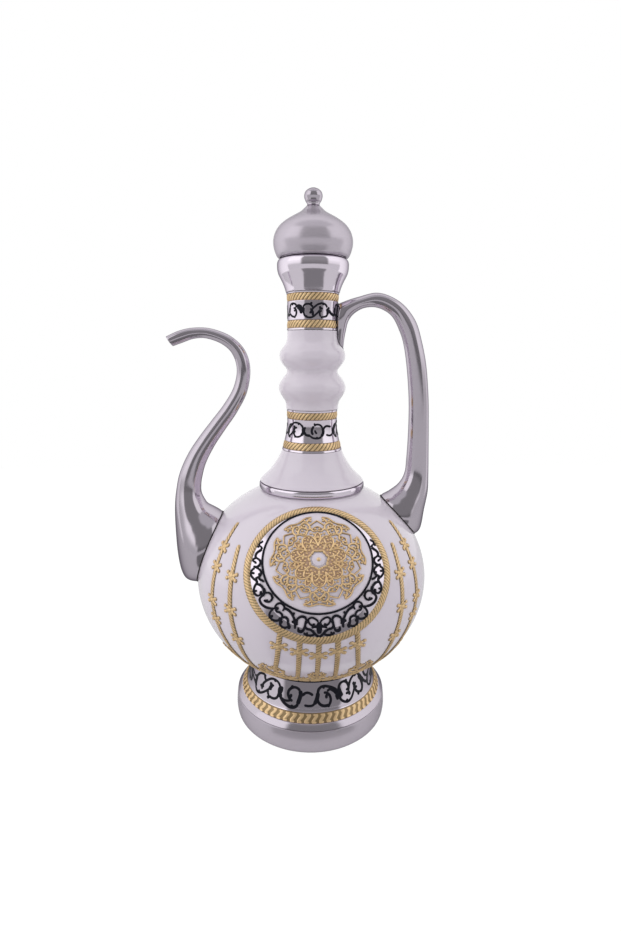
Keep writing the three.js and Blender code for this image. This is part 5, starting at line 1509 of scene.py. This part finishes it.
def rosette_chart(chart, sector=0):
    """A chart over the disc's domed face, turned by a number of the rosette's sectors."""
    turn = 2 * math.pi / SECTORS * sector

    def turned_chart(u, v, lift):
        x = np.asarray(u) * math.cos(turn) - np.asarray(v) * math.sin(turn)
        y = np.asarray(u) * math.sin(turn) + np.asarray(v) * math.cos(turn)
        far = (x * x + y * y) / DISC_WIDE**2
        return chart(x, DISC_RISE + y * ROSETTE_SQUASH, DISC_TOP - DISC_FALL * far + lift)

    return turned_chart


def rosette_edge(line):
    """A closed edge round the rosette from the radius at each angle of half a sector."""
    sector = 360 / SECTORS
    angles = np.arange(0, 360, sector / 12)
    within = np.abs((angles + sector / 2) % sector - sector / 2)
    r = np.interp(within, *np.array(line).T)
    turn = np.radians(270 + angles)
    return r * np.cos(turn), r * np.sin(turn)


def polar_line(line, mirror):
    """Angles from the lowest palmette and distances, as places on the rosette."""
    out = []
    for angle, r in line:
        turn = math.radians(270 + mirror * angle)
        out.append((r * math.cos(turn), r * math.sin(turn)))
    return out


# Reeds and lace

# Reeds: degrees from the front and heights, with a knot where a third value stands
INNER_REED = [(44.8, 161.5), (43.2, 152), (42.4, 143, 1), (41.6, 132), (41, 121, 1), (40, 110)]
INNER_REED += [(39, 99.5, 1), (38.6, 88), (38.5, 76), (38.5, 64)]
OUTER_REED = [(56.2, 172), (55.6, 164), (55.2, 157, 1), (55, 150), (54.8, 144.5, 1), (54.4, 132)]
OUTER_REED += [(54, 121.7, 1), (53, 114), (52.2, 108.5, 1), (50, 94), (48, 80), (47, 66)]
# The lace's short reeds, each with its knot. All but the first have a twin on the other side
SHORT_REEDS = [
    ([(0, 108.0), (0, 86.0), (0, 71.0)], (0, 96.5)),
    ([(8.0, 110.0), (9.2, 86.0), (10.8, 70.0)], (8.5, 99.4)),
    ([(16.3, 114.0), (19.0, 92.0), (23.0, 75.0)], (17.4, 102.8)),
]
REED_WIDTH = 3.4
SHORT_REED_WIDTH = 2.9
REED_PITCH = 2.3
# A knot's cross in millimetres: where an arm ends and how wide it is, the berry at its end, the berries
# above and below, and the one in the middle. Berries are (across, up, radius, height over the relief)
KNOT_ARM = (3.1, 1.7, 2.3)
KNOT_CORNER = (3.5, 1.9, 1.35, 1.35)
KNOT_TIP = (0, 2.8, 1.2, 1.35)
KNOT_MIDDLE = (0, 0, 1.6, 1.6)
# Palmettes at the globe's foot: degrees from the front and size. Leaves and berries are in millimetres
PALMETTES = [(0, 0.85), (25, 1.3), (-25, 1.3), (58, 1.1), (-58, 1.1), (90, 0.9)]
PALMETTE_Z = 71.5
PALMETTE_LEAVES = [
    ([(0.2, 0.2), (2.6, 2.4), (3.0, 5.0), (1.2, 7.6)], 1.2),
    ([(1.0, 0.2), (4.4, 1.0), (6.6, 3.0)], 1.3),
    ([(3.2, 3.2), (4.9, 5.4), (4.0, 7.0)], 1.0),
]
PALMETTE_BERRIES = ((5.9, 4.2, 1.3), (3.4, 0.6, 1.2), (2.9, 7.6, 0.9))
PALMETTE_TOP = (5.2, 1.7)
# The lace's edge: shares of a scallop from its middle and heights, with each berry's radius
SCALLOPS = 48
SCALLOP_ARCH = [(-0.5, 71.2), (-0.25, 68.9), (0, 68.2), (0.25, 68.9), (0.5, 71.2)]
SCALLOP_WIDTH = 0.9
SCALLOP_BERRIES = ((0.5, 72.0, 0.9), (0, 70.2, 0.8))
# The plain rings under it: width and height
HEMS = ((0.9, 66.6), (3.2, 62.6))


class EWER_OT_reeds(Operator):
    """Builds the gold reeds with their knots, and the lace at the globe's foot"""

    bl_idname = "ewer.reeds"
    bl_label = "Reeds"

    def execute(self, context):
        for side, back in (("front", False), ("back", True)):
            for hand, sign in (("right", 1), ("left", -1)):
                for name, line in (("inner", INNER_REED), ("outer", OUTER_REED)):
                    held = [f"{side}_reed_{name}_{hand}"]
                    self.reed(f"{side}_{name}_{hand}_stem", line, sign, back, held)
        self.lace()
        return report_done(self, "Reeds built")

    def reed(self, name, line, sign, back, stands_for):
        def chart(u, v, lift):
            return half_turn(on_globe(np.asarray(u) * sign, v, lift), back)

        stem = Strokes(chart, sizes().gold_relief, section=ROPE_STROKE, radius=72)
        knots = [place[:2] for place in line if len(place) > 2]
        draw_reed(stem, [place[:2] for place in line], knots, REED_WIDTH)
        stem.finish(name, gold(), "gold", stands_for=stands_for)

    def lace(self):
        """Short reeds, palmettes and a scalloped edge round the globe's foot."""
        work = Strokes(on_globe, sizes().gold_relief, section=ROPE_STROKE, radius=66)
        for half in (0, 180):
            for line, knot in SHORT_REEDS:
                for sign in (1, -1) if line[0][0] else (1,):
                    placed = [(half + sign * u, v) for u, v in line]
                    draw_reed(work, placed, [(half + sign * knot[0], knot[1])], SHORT_REED_WIDTH)
            for azimuth, size in PALMETTES:
                palmette(work, half + azimuth, size)
        for scallop in range(SCALLOPS):
            draw_scallop(work, scallop)
        work.finish("lace_strokes", gold(), "gold", stands_for=["lace_ring"])


def draw_reed(strokes, line, knots, width):
    """A twisted rod with a cross of berries at each knot."""
    strokes.add(line, width, steps=8, pitch=REED_PITCH)
    mm = 1 / strokes.stretch

    def berry(u, v, side, up, kind):
        across, rise, radius, height = kind
        strokes.bead((u + side * across * mm, v + up * rise), radius, strokes.relief * height)

    for u, v in knots:
        for side, up in ((1, 1), (1, -1), (-1, 1), (-1, -1)):
            across, rise, thick = KNOT_ARM
            strokes.add([(u, v), (u + side * across * mm, v + up * rise)], thick, steps=3)
            berry(u, v, side, up, KNOT_CORNER)
        berry(u, v, 0, 0, KNOT_MIDDLE)
        for up in (1, -1):
            berry(u, v, 0, up, KNOT_TIP)


def palmette(strokes, u, size):
    """A small crown of leaves."""
    v = PALMETTE_Z
    mm = size / strokes.stretch
    rise, radius = PALMETTE_TOP
    strokes.bead((u, v + rise * size), radius * size, strokes.relief)
    for sign in (1, -1):
        for leaf, width in PALMETTE_LEAVES:
            line = [(u + sign * across * mm, v + rise * size) for across, rise in leaf]
            strokes.add(line, width * size, steps=4)
        for across, rise, radius in PALMETTE_BERRIES:
            strokes.bead((u + sign * across * mm, v + rise * size), radius * size, strokes.relief)


def draw_scallop(strokes, number):
    """One arch of the lace's edge with its berries, and its stretch of the rings below."""
    step = 360 / SCALLOPS
    u = number * step
    strokes.add([(u + share * step, v) for share, v in SCALLOP_ARCH], SCALLOP_WIDTH, steps=4)
    for share, v, radius in SCALLOP_BERRIES:
        strokes.bead((u + share * step, v), radius, strokes.relief)
    for width, v in HEMS:
        strokes.add([(u - step / 2, v), (u + step / 2, v)], width, steps=3)


# Stage

# The studio's walls round the ewer: degrees from the front towards +X, and the brightness up to there
PANELS = [(-130, 0.8), (-41, 1.8), (45, 0.44), (96, 1.6), (180, 0.8)]
PANEL_BLUR = 3.0
# Where the walls end, as the upward share of a direction, with the colours above and below them
CEILING_EDGE = (0.76, 0.82)
CEILING = (0.92, 0.92, 0.94)
GROUND_EDGE = (-0.05, -0.01)
GROUND = (0.95, 0.95, 0.96)
# The walls are dimmer near the ground, and all the room is dimmer in mirrors than as light
WALL_FOOT = (-0.02, 0.2, 0.55, 1.0)
MIRRORED_ROOM = 0.65

# The table in metres. In mirrors a wedge of its front is dark, below the gap between the side panels, a
# painted
# shadow on the table: the wedge's half angle in radians, its near and far ends and the brightness outside
# it
TABLE_REACH = 0.95
WEDGE_ANGLE = (0.69, 0.77)
WEDGE_NEAR = (0.082, 0.088)
WEDGE_FAR = (0.74, 0.82)
MIRRORED_TABLE = 0.5
# How much plain white covers the table's own shading, and the light that the table adds
TABLE_WHITE = 0.85
TABLE_GLOW = 0.12

# The camera that was fitted to the photo: sizes in pixels, then its place in metres and where it looks
PHOTO_HEIGHT = 931
FOCAL_LENGTH = 532
SENSOR_MM = 36
CAMERA_PLACE = (-0.02442, -0.39605, 0.28847)
CAMERA_HEADING = (0.0592, 0.99825)
CAMERA_PITCH = math.radians(11.88)
CAMERA_ROLL = math.radians(0.328)


def seen_ray(tree, *kinds):
    """1 for rays of these kinds, 0 for the others."""
    light_path = node(tree, "ShaderNodeLightPath")
    seen = light_path.outputs[kinds[0]]
    for kind in kinds[1:]:
        seen = maths(tree, "MAXIMUM", seen, light_path.outputs[kind])
    return seen


def wall_light(tree, axes):
    """The walls' brightness by direction: two soft side panels and a darker gap behind the camera."""
    toward = maths(tree, "MULTIPLY", axes.outputs["Y"], -1.0)
    angle = maths(tree, "ARCTAN2", axes.outputs["X"], toward)
    ramp = node(tree, "ShaderNodeValToRGB", {"Fac": map_range(tree, angle, -math.pi, math.pi)})
    elements = ramp.color_ramp.elements
    elements[0].color = (*[PANELS[0][1]] * 3, 1)
    elements[1].color = (*[PANELS[-1][1]] * 3, 1)
    for (end, level), (_, following) in zip(PANELS, PANELS[1:]):
        for side, tone in ((-PANEL_BLUR, level), (PANEL_BLUR, following)):
            elements.new((end + side + 180) / 360).color = (tone, tone, tone, 1)
    gain = map_range(tree, axes.outputs["Z"], *WALL_FOOT, kind="SMOOTHSTEP")
    lit = node(tree, "ShaderNodeVectorMath", {0: ramp.outputs["Color"], "Scale": gain}, operation="SCALE")
    return lit.outputs[0]


def studio_world(context):
    """A pale studio that lights the ewer. The camera sees plain white, as mirrors do behind the ewer."""
    world = bpy.data.worlds.new("studio")
    context.scene.world = world
    world.use_nodes = True
    tree = world.node_tree
    tree.nodes.clear()
    way = node(tree, "ShaderNodeTexCoord").outputs["Generated"]
    axes = node(tree, "ShaderNodeSeparateXYZ", {0: way})
    ground = map_range(tree, axes.outputs["Z"], *GROUND_EDGE)
    above = map_range(tree, axes.outputs["Z"], *CEILING_EDGE, kind="SMOOTHSTEP")
    walls = colour_mix(tree, ground, GROUND, wall_light(tree, axes))
    light = colour_mix(tree, above, walls, CEILING)
    mirrored = map_range(tree, seen_ray(tree, "Is Glossy Ray"), 0.0, 1.0, 1.0, MIRRORED_ROOM)
    room = node(tree, "ShaderNodeBackground", {"Color": light, "Strength": mirrored})
    white = node(tree, "ShaderNodeBackground", {"Color": (1, 1, 1, 1), "Strength": 1.0})
    behind = maths(tree, "GREATER_THAN", axes.outputs["Y"], 0.0)
    backdrop = maths(tree, "MULTIPLY", seen_ray(tree, "Is Glossy Ray", "Is Transmission Ray"), behind)
    shown = maths(tree, "MAXIMUM", backdrop, seen_ray(tree, "Is Camera Ray"))
    mix = node(tree, "ShaderNodeMixShader", {0: shown, 1: room.outputs[0], 2: white.outputs[0]})
    out = node(tree, "ShaderNodeOutputWorld")
    tree.links.new(mix.outputs[0], out.inputs["Surface"])


def table_tone(tree):
    """The table's brightness: 1, but in mirrors dimmer, and dark in the wedge below the gap, a painted
    shadow.
    """
    place = node(tree, "ShaderNodeTexCoord").outputs["Object"]
    axes = node(tree, "ShaderNodeSeparateXYZ", {0: place})
    aside = maths(tree, "ABSOLUTE", axes.outputs["X"])
    toward = maths(tree, "MULTIPLY", axes.outputs["Y"], -1.0)
    outside = map_range(tree, maths(tree, "ARCTAN2", aside, toward), *WEDGE_ANGLE)
    far = node(tree, "ShaderNodeVectorMath", {0: place}, operation="LENGTH").outputs["Value"]
    pale = maths(tree, "MAXIMUM", outside, map_range(tree, far, *WEDGE_FAR))
    shadow_wedge = maths(tree, "SUBTRACT", map_range(tree, far, *WEDGE_NEAR), pale, clamp=True)
    patch = map_range(tree, shadow_wedge, 0.0, 1.0, MIRRORED_TABLE, 0.0)
    links = {"Factor": seen_ray(tree, "Is Glossy Ray"), "A": 1.0, "B": patch}
    return node(tree, "ShaderNodeMix", links).outputs["Result"]


def table_finish():
    """White table top. It shows as the white backdrop does, but keeps a trace of the ewer's shadow."""
    made, tree, shader = material("white_table")
    shader.inputs["Base Color"].default_value = (0.6, 0.6, 0.61, 1)
    shader.inputs["Roughness"].default_value = 0.9
    shader.inputs["Specular IOR Level"].default_value = 0.0
    plain = node(tree, "ShaderNodeEmission", {"Color": (1, 1, 1, 1), "Strength": table_tone(tree)})
    seen = seen_ray(tree, "Is Camera Ray", "Is Glossy Ray", "Is Transmission Ray")
    share = maths(tree, "MULTIPLY", seen, TABLE_WHITE)
    mix = node(tree, "ShaderNodeMixShader", {0: share, 1: shader.outputs[0], 2: plain.outputs[0]})
    glow = node(tree, "ShaderNodeEmission", {"Color": (1, 1, 1, 1), "Strength": TABLE_GLOW})
    bright = node(tree, "ShaderNodeAddShader", {0: mix.outputs[0], 1: glow.outputs[0]})
    tree.links.new(bright.outputs[0], tree.nodes["Material Output"].inputs["Surface"])
    return made


class EWER_OT_stage(Operator):
    """Sets the white table, the studio light and the camera"""

    bl_idname = "ewer.stage"
    bl_label = "Stage"

    def execute(self, context):
        context.scene.view_settings.view_transform = "Standard"
        studio_world(context)
        self.table(context.scene)
        self.camera(context.scene)
        return report_done(self, "Stage set")

    def table(self, scene):
        mesh = bpy.data.meshes.new("table")
        corners = [(x * TABLE_REACH, y * TABLE_REACH, 0) for x, y in ((-1, -1), (1, -1), (1, 1), (-1, 1))]
        mesh.from_pydata(corners, [], [(0, 1, 2, 3)])
        mesh.materials.append(table_finish())
        table = bpy.data.objects.new("table", mesh)
        scene.collection.objects.link(table)

    def camera(self, scene):
        camera = bpy.data.cameras.new("camera")
        camera.lens = FOCAL_LENGTH * SENSOR_MM / PHOTO_HEIGHT
        camera.sensor_width = SENSOR_MM
        camera.clip_start = 0.01
        held = bpy.data.objects.new("camera", camera)
        level = [side * math.cos(CAMERA_PITCH) for side in CAMERA_HEADING]
        look = Vector((*level, -math.sin(CAMERA_PITCH)))
        turn = look.to_track_quat("-Z", "Y").to_matrix().to_4x4()
        held.matrix_world = Matrix.Translation(CAMERA_PLACE) @ turn @ Matrix.Rotation(CAMERA_ROLL, 4, "Z")
        scene.collection.objects.link(held)
        scene.camera = held


class EWER_PT_tools(Panel):
    """Lists the ewer's sizes, its colours and its pieces"""

    bl_idname = "EWER_PT_tools"
    bl_label = "Ewer"
    bl_space_type = "VIEW_3D"
    bl_region_type = "UI"
    bl_category = "Ewer"

    def draw(self, context):
        for settings in (sizes(), colours()):
            box = self.layout.box()
            for name in settings.__annotations__:
                box.prop(settings, name)
        column = self.layout.column()
        for operator in OPERATORS:
            column.operator(operator.bl_idname)


OPERATORS = (
    EWER_OT_fixings,
    EWER_OT_foot,
    EWER_OT_globe,
    EWER_OT_neck,
    EWER_OT_lid,
    EWER_OT_spout,
    EWER_OT_handle,
    EWER_OT_bands,
    EWER_OT_medallions,
    EWER_OT_reeds,
    EWER_OT_stage,
)
CLASSES = (EwerSizes, EwerColours, *OPERATORS, EWER_PT_tools)


def register():
    for made in CLASSES:
        bpy.utils.register_class(made)
    bpy.types.Scene.ewer_sizes = PointerProperty(type=EwerSizes)
    bpy.types.Scene.ewer_colours = PointerProperty(type=EwerColours)


def unregister():
    del bpy.types.Scene.ewer_colours
    del bpy.types.Scene.ewer_sizes
    for made in reversed(CLASSES):
        bpy.utils.unregister_class(made)


def main():
    register()
    for operator in OPERATORS:
        group, name = operator.bl_idname.split(".")
        getattr(getattr(bpy.ops, group), name)()


if __name__ == "__main__":
    main()
